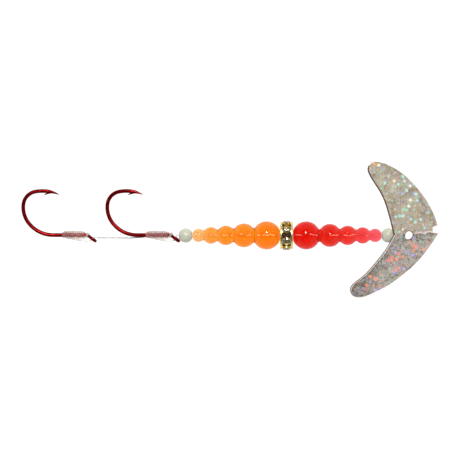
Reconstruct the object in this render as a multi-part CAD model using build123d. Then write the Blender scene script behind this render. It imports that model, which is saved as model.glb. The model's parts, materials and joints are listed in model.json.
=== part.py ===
from build123d import *
import math
import os

os.makedirs("parts", exist_ok=True)

# ---------------------------------------------------------------- inline spinner
# A trolling or drift spinner: a folded sparkle blade turns on the line in front
# of two tapered beads and a rhinestone spacer ring, and two snelled hooks trail
# behind.  Everything is laid out first in the line frame: +X forward along the
# line's axis, +Y to the side that the hook points turn to, +Z up.  The whole is
# then moved by PLACE, so that the origin is the bottom centre of its box.

AXIS_HEIGHT = 4.374         # line's axis above the surface that the spinner lies on
PLACE = (-0.279, -1.658, AXIS_HEIGHT)

# line (nylon or fluorocarbon monofilament)
LINE_R = 0.175
HINGE_GAP = 0.03            # each line end stops this far from its flex point

# hooks, size 1 octopus pattern
WIRE_R = 0.55
EYE_MAJOR = 0.95            # eye ring, centre of its wire
EYE_WIRE_R = 0.45
EYE_NORMAL = (0.6, 0.8, 0.0)
SHANK_Y = 1.09              # shank's axis above the eye's centre, in the hook's plane
BEND_START_X = -11.05
BEND = ((3.86, 8.71), (4.23, 8.76), (5.59, 7.14), (5.09, 4.03))   # (length, radius)
POINT_ARC = (6.80, 11.9)    # last arc, of which the end is ground to the point
POINT_TAPER = 3.45
HOOK_FRONT_EYE = (-14.84, -1.00, -1.10)
HOOK_FRONT_TILT = 8.03      # degrees, bend lower than the eye
HOOK_REAR_EYE = (-38.22, -1.00, -AXIS_HEIGHT + 1.402)
HOOK_REAR_TILT = 2.48

# snells
SNELL_X0, SNELL_X1 = -8.45, -2.05
SNELL_RIBS = 12
SNELL_RV, SNELL_RP = 0.84, 0.97

# flex points of the line
FLEX_FRONT = (-14.22, 0.0, 0.0)         # between the front eye and the rear glow bead
FLEX_LINK = (-9.25, 0.52, -0.80)        # behind the front snell, in the hook's own frame
FLEX_REAR = (1.62, 0.36, 0.0)           # ahead of the rear eye, in the hook's own frame

# beads
GLOW_R, GLOW_BORE_R, GLOW_HALF = 2.04, 0.50, 1.90
GLOW_REAR_X, GLOW_FRONT_X = -12.13, 44.61
BODY_BORE_R = 0.55
NOTCH_R = 0.40
ORANGE = ((-8.51, 1.88), (-5.07, 2.35), (-0.87, 2.76), (4.17, 3.37), (10.54, 3.98))
ORANGE_ENDS = (-10.17, 14.26)
RED = ((21.62, 3.96), (28.25, 3.25), (33.24, 2.74), (37.41, 2.32), (40.91, 1.90))
RED_ENDS = (17.95, 42.65)

# rhinestone spacer ring
RING_X0, RING_X1 = 14.31, 17.90
RING_PLATE_T = 0.80
RING_PLATE_R = 3.86
RING_BAND_R = 3.62
RING_BORE_R = 0.60
STONES = 7
STONE_TURN = 26.0           # degrees from straight up to the first stone, as the ring lies
STONE_GIRDLE_R = 0.96
STONE_TABLE_R = 0.60
STONE_GIRDLE_AT = 3.74
STONE_TABLE_AT = 4.09
STONE_CULET_AT = 2.80

# blade
BLADE_T = 0.30
BLADE_X, BLADE_HOLE_R = 50.20, 1.18
FOLD_YAW, FOLD_PITCH = 3.0, 24.0        # degrees: the fold in plan, and its fall forward
WING_UP, WING_DOWN = 4.0, 22.0          # degrees: far wing rises, near wing falls
FOLD_R = 1.2                            # inside radius of the fold
FOLD_SIDE, FOLD_LIFT = 0.31, 0.20       # fold line beside and above the line's axis
# cut outline of each wing: (along the fold, forward; away from the fold)
WING_A = ((-4.50, 0.00), (-5.70, 4.85), (-6.84, 8.72), (-8.15, 11.72), (-10.28, 15.04),
          (-11.79, 17.66), (-12.08, 18.83), (-11.79, 19.73), (-10.98, 20.56), (-9.98, 20.92),
          (-8.54, 20.81), (-5.83, 19.90), (-3.08, 18.45), (-0.41, 16.48), (2.23, 13.93),
          (4.79, 10.84), (6.83, 7.79), (8.25, 4.87), (9.15, 2.06))
WING_B = ((-4.50, 0.00), (-6.35, 3.90), (-9.16, 7.92), (-11.57, 10.86), (-13.89, 12.88),
          (-15.66, 14.36), (-16.10, 15.36), (-15.99, 16.47), (-15.44, 17.42), (-14.53, 18.03),
          (-13.07, 18.33), (-11.19, 18.06), (-7.47, 16.62), (-4.23, 15.03), (-1.14, 12.83),
          (2.21, 10.08), (4.65, 7.43), (6.97, 4.18), (9.35, 0.16))
NOTCH = ((7.65, 1.60), (7.60, 0.28))    # floor of the notch, between the front corners


# ---------------------------------------------------------------- helpers
def vadd(*vs):
    return tuple(sum(c) for c in zip(*vs))


def tube(points, radii, r=LINE_R):
    """A round line along straight runs joined by tangent arcs."""
    if len(points) == 2:
        path = Line(*points)
    else:
        path = FilletPolyline(*points, radius=radii)
    return sweep(Plane(origin=path @ 0, z_dir=path % 0) * Circle(r), path=path)


def arc_radii(points, k=0.45):
    """The largest tangent arcs that the runs allow."""
    out = []
    for a, b, c in zip(points, points[1:], points[2:]):
        u, v = Vector(*b) - Vector(*a), Vector(*c) - Vector(*b)
        turn = math.radians(u.get_angle(v))
        out.append(k * min(u.length, v.length) / math.tan(turn / 2))
    return out


def line_tip(end, outward, gap=HINGE_GAP):
    """The line's coned end, whose apex stops just short of the flex point at end + outward."""
    d = Vector(*outward).normalized()
    h = LINE_R * 0.9
    base = Vector(*end)
    return Plane(origin=base, z_dir=d) * Cone(LINE_R, 0.02, h, align=(Align.CENTER, Align.CENTER, Align.MIN))


def fuse(*parts):
    out = parts[0]
    for p in parts[1:]:
        out = out + p
    return out


def lobed_body(lobes, ends, bore_r):
    """One moulded bead of overlapping balls with softened notches, bored along X."""
    xs0, xs1 = ends
    pts = []        # (kind, data) of arcs along the outside

    def on(c, r, x):
        return (x, math.sqrt(max(r * r - (x - c) ** 2, 0)))

    start = on(*lobes[0], xs0)
    cur = start
    edges = [Line((xs0, bore_r), start)]
    for i, (c, r) in enumerate(lobes):
        if i + 1 < len(lobes):
            c2, r2 = lobes[i + 1]
            d = c2 - c
            a, b = r + NOTCH_R, r2 + NOTCH_R
            fx = (d * d + a * a - b * b) / (2 * d)
            fy = math.sqrt(a * a - fx * fx)
            centre = (c + fx, fy)
            t1 = (c + fx * r / a, fy * r / a)
            t2 = (c2 - (d - fx) * r2 / b, fy * r2 / b)
            low = (centre[0], centre[1] - NOTCH_R)
            mid_ang = (math.atan2(cur[1], cur[0] - c) + math.atan2(t1[1], t1[0] - c)) / 2
            edges.append(ThreePointArc(cur, (c + r * math.cos(mid_ang), r * math.sin(mid_ang)), t1))
            va = math.atan2(t1[1] - centre[1], t1[0] - centre[0])
            vb = math.atan2(t2[1] - centre[1], t2[0] - centre[0])
            vm = (va + vb) / 2
            edges.append(ThreePointArc(t1, (centre[0] + NOTCH_R * math.cos(vm), centre[1] + NOTCH_R * math.sin(vm)), t2))
            cur = t2
        else:
            end = on(c, r, xs1)
            mid_ang = (math.atan2(cur[1], cur[0] - c) + math.atan2(end[1], end[0] - c)) / 2
            edges.append(ThreePointArc(cur, (c + r * math.cos(mid_ang), r * math.sin(mid_ang)), end))
            edges.append(Line(end, (xs1, bore_r)))
    edges.append(Line((xs1, bore_r), (xs0, bore_r)))
    return revolve(make_face(Curve() + edges), Axis.X)


def glow_bead(x):
    h = GLOW_HALF
    yr = math.sqrt(GLOW_R ** 2 - h ** 2)
    edges = [
        Line((x - h, GLOW_BORE_R), (x - h, yr)),
        ThreePointArc((x - h, yr), (x, GLOW_R), (x + h, yr)),
        Line((x + h, yr), (x + h, GLOW_BORE_R)),
        Line((x + h, GLOW_BORE_R), (x - h, GLOW_BORE_R)),
    ]
    return revolve(make_face(Curve() + edges), Axis.X)


# ---------------------------------------------------------------- hooks
def bend_edges():
    """The hook's wire in its own plane from the eye to the start of the point's taper."""
    ex, ey = -0.8 * EYE_MAJOR, 0.6 * EYE_MAJOR
    s = (SHANK_Y - ey) / 0.6
    corner = (ex - 0.8 * s, SHANK_Y)
    t = 0.62
    a0 = (corner[0] + 0.8 * t, corner[1] - 0.6 * t)
    a1 = (corner[0] - t, SHANK_Y)
    rr = t / math.tan(math.radians(36.87 / 2))
    cx, cy = a1[0], SHANK_Y - rr
    am = math.radians(90 - 36.87 / 2)
    edges = [
        Line((ex, ey), a0),
        ThreePointArc(a0, (cx + rr * math.cos(am), cy + rr * math.sin(am)), a1),
        Line(a1, (BEND_START_X, SHANK_Y)),
    ]
    x, y, h = BEND_START_X, SHANK_Y, math.pi
    arcs = list(BEND) + [(POINT_ARC[0] - POINT_TAPER, POINT_ARC[1])]
    for length, rad in arcs:
        def at(ds, x=x, y=y, h=h, rad=rad):
            c = (x + rad * math.sin(h), y - rad * math.cos(h))
            hh = h - ds / rad
            return (c[0] - rad * math.sin(hh), c[1] + rad * math.cos(hh)), hh
        (m, _), (e, hh) = at(length / 2), at(length)
        edges.append(ThreePointArc((x, y), m, e))
        (x, y), h = e, hh
    return edges, (x, y, h)


def make_hook():
    edges, (x, y, h) = bend_edges()
    runs = [Wire([e.edge() if hasattr(e, "edge") else e]) for e in edges]
    wire = fuse(*[sweep(Plane(origin=w @ 0, z_dir=w % 0) * Circle(WIRE_R), path=w) for w in runs])
    # ground point, a tapering continuation of the last arc
    rad = POINT_ARC[1]
    c = (x + rad * math.sin(h), y - rad * math.cos(h))
    rings = []
    n = 6
    for i in range(n + 1):
        f = i / n
        hh = h - f * POINT_TAPER / rad
        p = (c[0] - rad * math.sin(hh), c[1] + rad * math.cos(hh), 0)
        r = WIRE_R * (1 - f ** 1.35) + 0.07 * f
        if i == 0:
            r = WIRE_R
        rings.append(Plane(origin=p, z_dir=(math.cos(hh), math.sin(hh), 0)) * Circle(r))
    point = loft(rings)
    eye = Solid.make_torus(EYE_MAJOR, EYE_WIRE_R, Plane(origin=(0, 0, 0), z_dir=EYE_NORMAL))
    barb2d = make_face(Polyline((-11.45, 13.10), (-12.05, 12.72), (-13.86, 12.26), (-13.62, 12.52),
                                (-13.05, 12.92), (-12.60, 13.20), close=True))
    barb = extrude(barb2d, 0.20, both=True)
    return fuse(wire, point, eye, barb)


def hook_place(eye, tilt):
    return Location(eye) * Rotation(0, -tilt, 0)


def in_hook(p, eye, tilt):
    """A point of the hook's own frame, in the line frame."""
    t = math.radians(tilt)
    x, y, z = p
    return vadd(eye, (x * math.cos(t) - z * math.sin(t), y, x * math.sin(t) + z * math.cos(t)))


def make_snell():
    """Wraps of line round the shank, with the strands laid along it."""
    pitch = (SNELL_X1 - SNELL_X0) / SNELL_RIBS
    ri = WIRE_R + 0.01
    edges = [Line((SNELL_X0, SHANK_Y + ri), (SNELL_X0, SHANK_Y + SNELL_RV))]
    for i in range(SNELL_RIBS):
        a = SNELL_X0 + i * pitch
        edges.append(ThreePointArc((a, SHANK_Y + SNELL_RV), (a + pitch / 2, SHANK_Y + SNELL_RP), (a + pitch, SHANK_Y + SNELL_RV)))
    edges.append(Line((SNELL_X1, SHANK_Y + SNELL_RV), (SNELL_X1, SHANK_Y + ri)))
    edges.append(Line((SNELL_X1, SHANK_Y + ri), (SNELL_X0, SHANK_Y + ri)))
    sleeve = revolve(make_face(Curve() + edges), Axis((0, SHANK_Y, 0), (1, 0, 0)))
    top = [(SNELL_X0 + 0.35, SHANK_Y + 0.78, 0), (-6.3, SHANK_Y + 1.03, 0), (-4.2, SHANK_Y + 1.08, 0), (SNELL_X1 - 0.45, SHANK_Y + 0.78, 0)]
    return sleeve + tube(top, arc_radii(top))


# the standing line of a snell, from inside its wraps, in a slack loop under the
# shank, through the eye and out to the flex point ahead of it
LOOP = [(-7.60, 0.40, 0), (-5.60, -0.08, 0), (-3.40, -0.46, 0), (-1.60, -0.62, 0), (-0.50, -0.46, 0)]

hook = make_hook()
snell = make_snell()

F = (HOOK_FRONT_EYE, HOOK_FRONT_TILT)
R = (HOOK_REAR_EYE, HOOK_REAR_TILT)

hook_front = hook_place(*F) * hook
hook_rear = hook_place(*R) * hook

# rear snell
strand = LOOP + [(0.42, 0.36, 0), (FLEX_REAR[0] - HINGE_GAP - LINE_R * 0.9, FLEX_REAR[1], 0)]
print("rear snell radii", [round(r, 2) for r in arc_radii(strand)])
snell_rear_local = fuse(snell, tube(strand, arc_radii(strand)), line_tip(strand[-1], (1, 0, 0)))
snell_rear = hook_place(*R) * (snell_rear_local - hook)

# front snell: its line leaves the eye towards the rear glow bead's bore, and its
# tail leaves the wraps under the shank towards the rear hook
pts = [in_hook(p, *F) for p in LOOP] + [in_hook((0.05, 0.02, 0.0), *F)]
end = (FLEX_FRONT[0] - HINGE_GAP - LINE_R * 0.9, 0.0, 0.0)
pts += [vadd(end, (-0.28, -0.06, -0.06)), end]
print("front snell radii", [round(r, 2) for r in arc_radii(pts)])
tail = [(-7.2, 0.62, -0.62), (-8.3, 0.58, -0.76), (FLEX_LINK[0] + HINGE_GAP + LINE_R * 0.9, FLEX_LINK[1], FLEX_LINK[2])]
tail = [in_hook(p, *F) for p in tail]
flex_link = in_hook(FLEX_LINK, *F)
flex_rear = in_hook(FLEX_REAR, *R)
snell_front = fuse(
    hook_place(*F) * snell,
    tube(pts, arc_radii(pts)),
    line_tip(pts[-1], Vector(*pts[-1]) - Vector(*pts[-2])),
    tube(tail, arc_radii(tail)),
    line_tip(tail[-1], Vector(*tail[-1]) - Vector(*tail[-2])),
) - hook_front

# link line, from the front snell's tail to just ahead of the rear eye
d0 = (Vector(*flex_rear) - Vector(*flex_link)).normalized()
inset = HINGE_GAP + LINE_R * 0.9
la = tuple(Vector(*flex_link) + d0 * inset)
lb = tuple(Vector(*flex_rear) + Vector(1, 0, 0) * inset)
mid = vadd(flex_rear, (5.2, -0.02, 0.02))
link = [la, (flex_link[0] - 3.8, flex_link[1] - 0.27, flex_link[2] - 0.10), mid, lb]
print("link radii", [round(r, 2) for r in arc_radii(link)])
link_line = fuse(tube(link, arc_radii(link)), line_tip(la, Vector(*la) - Vector(*link[1])), line_tip(lb, Vector(*lb) - Vector(*mid)))

# ---------------------------------------------------------------- leader line
LEAD_X0 = FLEX_FRONT[0] + inset
lead = [(LEAD_X0, 0, 0), (52.20, 0, 0), (53.40, 0, 0.30), (57.10, 0, 0.30)]
print("leader radii", [round(r, 2) for r in arc_radii(lead)])
leader_line = fuse(tube(lead, arc_radii(lead)), line_tip(lead[0], (-1, 0, 0)))

# ---------------------------------------------------------------- beads
glow_bead_rear = glow_bead(GLOW_REAR_X)
glow_bead_front = glow_bead(GLOW_FRONT_X)
tapered_body_orange = lobed_body(ORANGE, ORANGE_ENDS, BODY_BORE_R)
tapered_body_red = lobed_body(RED, RED_ENDS, BODY_BORE_R)

# ---------------------------------------------------------------- spacer ring
def disc(x0, x1, r, r_in):
    return Plane(origin=(x0, 0, 0), z_dir=(1, 0, 0)) * extrude(Circle(r) - Circle(r_in), x1 - x0)


def plate(x0, x1, inner):
    """A pressed flange with a rolled outer rim and a dished outer face."""
    p = disc(x0, x1, RING_PLATE_R, RING_BORE_R)
    p = fillet(p.edges().filter_by(GeomType.CIRCLE).sort_by(SortBy.LENGTH)[-2:], 0.18)
    out = x0 if inner == x1 else x1
    d = 0.22
    a, b = (out, out + d) if out == x0 else (out - d, out)
    return p - disc(a - (0.01 if out == x0 else 0), b + (0 if out == x0 else 0.01), 3.25, 1.15)


xa, xb = RING_X0 + RING_PLATE_T, RING_X1 - RING_PLATE_T
ring_plate_rear = plate(RING_X0, xa, xa)
ring_plate_front = plate(xb, RING_X1, xb)
xm = (xa + xb) / 2


def stone_frame(i):
    a = math.radians(STONE_TURN + 360 / STONES * i)
    return Plane(origin=(xm, 0, 0), x_dir=(1, 0, 0), z_dir=(0, math.sin(a), math.cos(a)))


def stone():
    """A round-cut stone with eight sides, its table outward."""
    def poly(r, z):
        return Plane.XY.offset(z) * RegularPolygon(r, 8)
    body = loft([poly(STONE_GIRDLE_R, STONE_GIRDLE_AT - 0.06), poly(STONE_GIRDLE_R, STONE_GIRDLE_AT + 0.04)])
    crown = loft([poly(STONE_GIRDLE_R, STONE_GIRDLE_AT + 0.04), poly(STONE_TABLE_R, STONE_TABLE_AT)])
    pav = loft([poly(0.05, STONE_CULET_AT), poly(STONE_GIRDLE_R, STONE_GIRDLE_AT - 0.06)])
    return body + crown + pav


def pocket():
    h = STONE_GIRDLE_AT - STONE_CULET_AT
    return Plane.XY.offset(STONE_CULET_AT - 0.05) * Cone(0.06, STONE_GIRDLE_R + 0.02, h, align=(Align.CENTER, Align.CENTER, Align.MIN)) + \
        Plane.XY.offset(STONE_GIRDLE_AT - 0.06) * Cylinder(STONE_GIRDLE_R + 0.02, 1.0, align=(Align.CENTER, Align.CENTER, Align.MIN))


ring_setting = disc(xa, xb, RING_BAND_R, RING_BORE_R)
one, cup = stone(), pocket()
stones = []
for i in range(STONES):
    fr = stone_frame(i)
    ring_setting = ring_setting - (fr * cup)
    stones.append((fr * one).solid())
ring_crystals = Compound(children=stones)

# ---------------------------------------------------------------- blade
yaw, pitch = math.radians(FOLD_YAW), math.radians(FOLD_PITCH)
mean = math.radians((WING_UP + WING_DOWN) / 2)      # the two wings' mean slope
half = math.radians((WING_DOWN - WING_UP) / 2)      # half of the fold's angle
f = Vector(math.cos(pitch) * math.cos(yaw), math.cos(pitch) * math.sin(yaw), -math.sin(pitch))
n = Vector(-math.sin(yaw), math.cos(yaw), 0)
w = f.cross(n)
v = n * math.cos(mean) + w * math.sin(mean)
m = w * math.cos(mean) - n * math.sin(mean)
fold_o = Vector(BLADE_X, FOLD_SIDE, FOLD_LIFT)
blade_plane = Plane(origin=fold_o, x_dir=f, z_dir=m)

tt = BLADE_T / 2 / math.cos(half)
drop = 26 * math.tan(half)
top_line = FilletPolyline((-26, -drop + tt), (0, tt), (26, -drop + tt), radius=FOLD_R + BLADE_T)
low_line = FilletPolyline((26, -drop - tt), (0, -tt), (-26, -drop - tt), radius=FOLD_R)
section = make_face(top_line.edges() + low_line.edges() + [
    Edge.make_line((26, -drop + tt), (26, -drop - tt)), Edge.make_line((-26, -drop - tt), (-26, -drop + tt))])
sheet = extrude(Plane(origin=(-24, 0, 0), x_dir=(0, 1, 0), z_dir=(1, 0, 0)) * section, 44)

c = math.cos(half)
pa = [(t, s * c) for t, s in WING_A]
pb = [(t, -s * c) for t, s in WING_B]
n0, n1 = ((t, s * c) for t, s in NOTCH)
outline = [Spline(*pa), Line(pa[-1], n0), Line(n0, n1), Line(n1, pb[-1]), Spline(*pb[::-1])]
blank = extrude(make_face(Curve() + outline), 9, both=True)
# the hole is where the line's axis pierces the wing beside the fold
d, along = Vector(BLADE_X, 0, 0) - fold_o, Vector(1, 0, 0)
slope = math.tan(half)
run = -(d.dot(m) - slope * d.dot(v)) / (along.dot(m) - slope * along.dot(v))
d = d + along * run
hole = Pos(d.dot(f), d.dot(v), 0) * Cylinder(BLADE_HOLE_R, 6)
print("hole pierced at", round(BLADE_X + run, 3))
blade = blade_plane.location * ((sheet & blank) - hole)

# ---------------------------------------------------------------- export
NODES = {
    "hook_rear": hook_rear,
    "snell_rear": snell_rear,
    "link_line": link_line,
    "hook_front": hook_front,
    "snell_front": snell_front,
    "leader_line": leader_line,
    "glow_bead_rear": glow_bead_rear,
    "tapered_body_orange": tapered_body_orange,
    "ring_plate_rear": ring_plate_rear,
    "ring_setting": ring_setting,
    "ring_crystals": ring_crystals,
    "ring_plate_front": ring_plate_front,
    "tapered_body_red": tapered_body_red,
    "glow_bead_front": glow_bead_front,
    "blade": blade,
}
lo, hi = [1e9] * 3, [-1e9] * 3
for name, shape in NODES.items():
    solids = [s.moved(Location(PLACE)) for s in shape.solids()]
    placed = solids[0] if len(solids) == 1 else Compound(children=solids)
    bb = placed.bounding_box()
    lo = [min(a, b) for a, b in zip(lo, bb.min)]
    hi = [max(a, b) for a, b in zip(hi, bb.max)]
    export_step(placed, f"parts/{name}.step")
print("box", [round(a, 3) for a in lo], [round(a, 3) for a in hi], "centre", [round((a + b) / 2, 3) for a, b in zip(lo, hi)])
for nm, q in (("flex_front", FLEX_FRONT), ("flex_link", flex_link), ("flex_rear", flex_rear), ("blade", (BLADE_X, 0, 0)),
              ("leader_end", lead[-1]), ("eye_front", HOOK_FRONT_EYE), ("eye_rear", HOOK_REAR_EYE)):
    print(nm, [round(a, 3) for a in vadd(q, PLACE)])
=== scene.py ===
import json
import math

import bmesh
import bpy
import numpy as np
from mathutils import Matrix, Vector
from mathutils.geometry import delaunay_2d_cdt


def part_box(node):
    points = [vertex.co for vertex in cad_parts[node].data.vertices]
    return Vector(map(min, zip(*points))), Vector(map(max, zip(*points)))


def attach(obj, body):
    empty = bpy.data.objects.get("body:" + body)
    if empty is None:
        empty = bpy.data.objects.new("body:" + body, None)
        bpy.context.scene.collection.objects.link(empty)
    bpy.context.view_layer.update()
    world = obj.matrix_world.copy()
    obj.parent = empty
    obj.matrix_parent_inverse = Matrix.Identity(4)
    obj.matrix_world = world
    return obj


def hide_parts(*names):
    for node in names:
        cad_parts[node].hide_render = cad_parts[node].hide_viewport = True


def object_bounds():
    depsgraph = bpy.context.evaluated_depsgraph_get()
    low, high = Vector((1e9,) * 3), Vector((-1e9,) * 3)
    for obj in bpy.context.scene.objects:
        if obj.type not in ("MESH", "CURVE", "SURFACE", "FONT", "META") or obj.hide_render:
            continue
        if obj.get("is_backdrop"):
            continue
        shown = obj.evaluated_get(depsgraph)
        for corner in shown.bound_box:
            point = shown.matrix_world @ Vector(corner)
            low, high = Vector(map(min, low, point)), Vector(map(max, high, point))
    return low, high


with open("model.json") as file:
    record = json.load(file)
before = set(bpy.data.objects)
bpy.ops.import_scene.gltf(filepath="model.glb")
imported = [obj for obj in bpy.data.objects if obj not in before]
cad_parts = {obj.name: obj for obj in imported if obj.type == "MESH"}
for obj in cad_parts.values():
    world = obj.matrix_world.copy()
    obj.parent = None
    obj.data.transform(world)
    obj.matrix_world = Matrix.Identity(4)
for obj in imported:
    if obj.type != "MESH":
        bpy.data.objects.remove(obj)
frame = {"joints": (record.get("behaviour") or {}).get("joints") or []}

CAD_LO, CAD_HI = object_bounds()
MM = 0.001
scene = bpy.context.scene

JOINT = {j["name"]: np.array(j["pos_m"]) / MM for j in frame["joints"]}


def mbox(node):
    lo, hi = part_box(node)
    return np.array(lo) / MM, np.array(hi) / MM


# ================================================================ mesh helpers
# Every piece is built in millimetres of the row frame and stored in metres.
def to_object(name, verts, faces, mats, face_mat=None, smooth=True, flat_mats=()):
    me = bpy.data.meshes.new(name)
    me.from_pydata([tuple(v) for v in np.asarray(verts, float) * MM], [], [tuple(int(i) for i in f) for f in faces])
    for m in mats:
        me.materials.append(m)
    if face_mat is not None:
        me.polygons.foreach_set("material_index", np.asarray(face_mat, np.int32))
    me.polygons.foreach_set("use_smooth", [bool(smooth) and (face_mat is None or face_mat[i] not in flat_mats) for i in range(len(me.polygons))])
    me.validate()
    me.update()
    ob = bpy.data.objects.new(name, me)
    scene.collection.objects.link(ob)
    return ob


def outward(verts, faces):
    """The faces of one closed shell, turned so that they all face out."""
    v = np.asarray(verts, float)
    v = v - v.mean(0)
    vol = 0.0
    for f in faces:
        for i in range(1, len(f) - 1):
            vol += v[f[0]] @ np.cross(v[f[i]], v[f[i + 1]])
    return [tuple(f[::-1]) for f in faces] if vol < 0 else faces


def sharp(ob, angle):
    """Shades the piece smooth, but keeps the edges that turn more than angle crisp."""
    me = ob.data
    bm = bmesh.new()
    bm.from_mesh(me)
    for e in bm.edges:
        e.smooth = not (len(e.link_faces) == 2 and e.calc_face_angle(0.0) > math.radians(angle))
    bm.to_mesh(me)
    bm.free()
    return ob


def nurbs(points, res=14, order=4):
    """The smooth route through the frame that has these control points, in mm."""
    cu = bpy.data.curves.new("route", "CURVE")
    cu.dimensions = "3D"
    sp = cu.splines.new("NURBS")
    sp.points.add(len(points) - 1)
    for p, q in zip(sp.points, points):
        p.co = (q[0], q[1], q[2], 1.0)
    sp.order_u = min(order, len(points))
    sp.use_endpoint_u = True
    sp.resolution_u = res
    ob = bpy.data.objects.new("route", cu)
    scene.collection.objects.link(ob)
    dg = bpy.context.evaluated_depsgraph_get()
    me = bpy.data.meshes.new_from_object(ob.evaluated_get(dg))
    out = np.array([v.co for v in me.vertices], float)
    bpy.data.objects.remove(ob)
    bpy.data.curves.remove(cu)
    bpy.data.meshes.remove(me)
    keep = [0]
    for i in range(1, len(out)):
        if np.linalg.norm(out[i] - out[keep[-1]]) > 1e-4:
            keep.append(i)
    return out[keep]


def resample(path, step):
    seg = np.linalg.norm(np.diff(path, axis=0), axis=1)
    s = np.concatenate([[0], np.cumsum(seg)])
    n = max(2, int(round(s[-1] / step)) + 1)
    t = np.linspace(0, s[-1], n)
    return np.stack([np.interp(t, s, path[:, k]) for k in range(3)], 1)


def arclen(path):
    return np.concatenate([[0], np.cumsum(np.linalg.norm(np.diff(path, axis=0), axis=1))])


def swept(path, radii, sides=16, round_ends=(True, True), squash=None, up=None):
    """Verts and faces of a tube along path. squash gives each ring's (height scale, side scale)."""
    path = np.asarray(path, float)
    n = len(path)
    radii = np.full(n, radii, float) if np.isscalar(radii) else np.asarray(radii, float)
    tan = np.gradient(path, axis=0)
    tan /= np.linalg.norm(tan, axis=1)[:, None]
    ref = np.array(up if up is not None else (0, 0, 1), float)
    if abs(ref @ tan[0]) > 0.95:
        ref = np.array((0, 1, 0), float)
    nx = ref - (ref @ tan[0]) * tan[0]
    nx /= np.linalg.norm(nx)
    rings, frames = [], []
    for i in range(n):
        if i:
            nx = nx - (nx @ tan[i]) * tan[i]
            nx /= np.linalg.norm(nx)
        ny = np.cross(tan[i], nx)
        frames.append((nx.copy(), ny))
    a = np.linspace(0, 2 * np.pi, sides, endpoint=False)

    def ring(c, fr, r, sq):
        return c + r * (np.outer(np.cos(a) * sq[0], fr[0]) + np.outer(np.sin(a) * sq[1], fr[1]))

    sq = [(1.0, 1.0)] * n if squash is None else squash
    if round_ends[0]:
        for k in (0.98, 0.85, 0.6, 0.3):
            rings.append(ring(path[0] - tan[0] * radii[0] * k, frames[0], radii[0] * math.sqrt(1 - k * k), sq[0]))
    for i in range(n):
        rings.append(ring(path[i], frames[i], radii[i], sq[i]))
    if round_ends[1]:
        for k in (0.3, 0.6, 0.85, 0.98):
            rings.append(ring(path[-1] + tan[-1] * radii[-1] * k, frames[-1], radii[-1] * math.sqrt(1 - k * k), sq[-1]))
    verts = np.concatenate(rings)
    faces = []
    m = len(rings)
    for i in range(m - 1):
        for k in range(sides):
            k2 = (k + 1) % sides
            faces.append((i * sides + k, i * sides + k2, (i + 1) * sides + k2, (i + 1) * sides + k))
    faces.append(tuple(range(sides))[::-1])
    faces.append(tuple((m - 1) * sides + k for k in range(sides)))
    return verts, outward(verts, faces)


def joined(parts):
    """One list of verts and faces from several, with the material index of each."""
    vs, fs, ms, base = [], [], [], 0
    for p in parts:
        v, f = p[0], p[1]
        mi = p[2] if len(p) > 2 else 0
        vs.append(np.asarray(v, float))
        fs += [tuple(i + base for i in q) for q in f]
        ms += list(mi) if hasattr(mi, "__len__") else [mi] * len(f)
        base += len(v)
    return np.concatenate(vs), fs, ms


def lathe(profile, axis_y, axis_z, around=72, closed=True):
    """Turns a closed profile of (x, r) about the line y, z = axis. Round in section, along X."""
    a = np.linspace(0, 2 * np.pi, around, endpoint=False)
    prof = np.asarray(profile, float)
    n = len(prof)
    v = np.empty((n, around, 3))
    v[:, :, 0] = prof[:, 0][:, None]
    v[:, :, 1] = axis_y + prof[:, 1][:, None] * np.sin(a)
    v[:, :, 2] = axis_z + prof[:, 1][:, None] * np.cos(a)
    faces = []
    last = n if closed else n - 1
    for i in range(last):
        j = (i + 1) % n
        for k in range(around):
            k2 = (k + 1) % around
            faces.append((i * around + k, j * around + k, j * around + k2, i * around + k2))
    v = v.reshape(-1, 3)
    return v, outward(v, faces)


def fillet_profile(points, radii, n=6):
    """Rounds the corners of a closed profile of (x, r) points."""
    out = []
    m = len(points)
    for i in range(m):
        p, q, s = (np.array(points[(i + k) % m], float) for k in (-1, 0, 1))
        r = radii[i]
        if r <= 0:
            out.append(q)
            continue
        u, v = (p - q) / np.linalg.norm(p - q), (s - q) / np.linalg.norm(s - q)
        ang = math.acos(max(-1, min(1, u @ v)))
        d = r / math.tan(ang / 2)
        d = min(d, 0.49 * np.linalg.norm(p - q), 0.49 * np.linalg.norm(s - q))
        r = d * math.tan(ang / 2)
        bis = (u + v) / np.linalg.norm(u + v)
        c = q + bis * (r / math.sin(ang / 2))
        a0, a1 = q + u * d - c, q + v * d - c
        t0, t1 = math.atan2(a0[1], a0[0]), math.atan2(a1[1], a1[0])
        dt = (t1 - t0 + math.pi) % (2 * math.pi) - math.pi
        for k in range(n + 1):
            t = t0 + dt * k / n
            out.append(c + r * np.array((math.cos(t), math.sin(t))))
    return np.array(out)


# ================================================================ material helpers
def rgb(r, g, b):
    """sRGB 0 to 255 as linear."""
    return tuple(((c / 255) / 12.92 if c / 255 <= 0.04045 else ((c / 255 + 0.055) / 1.055) ** 2.4) for c in (r, g, b)) + (1.0,)


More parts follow.
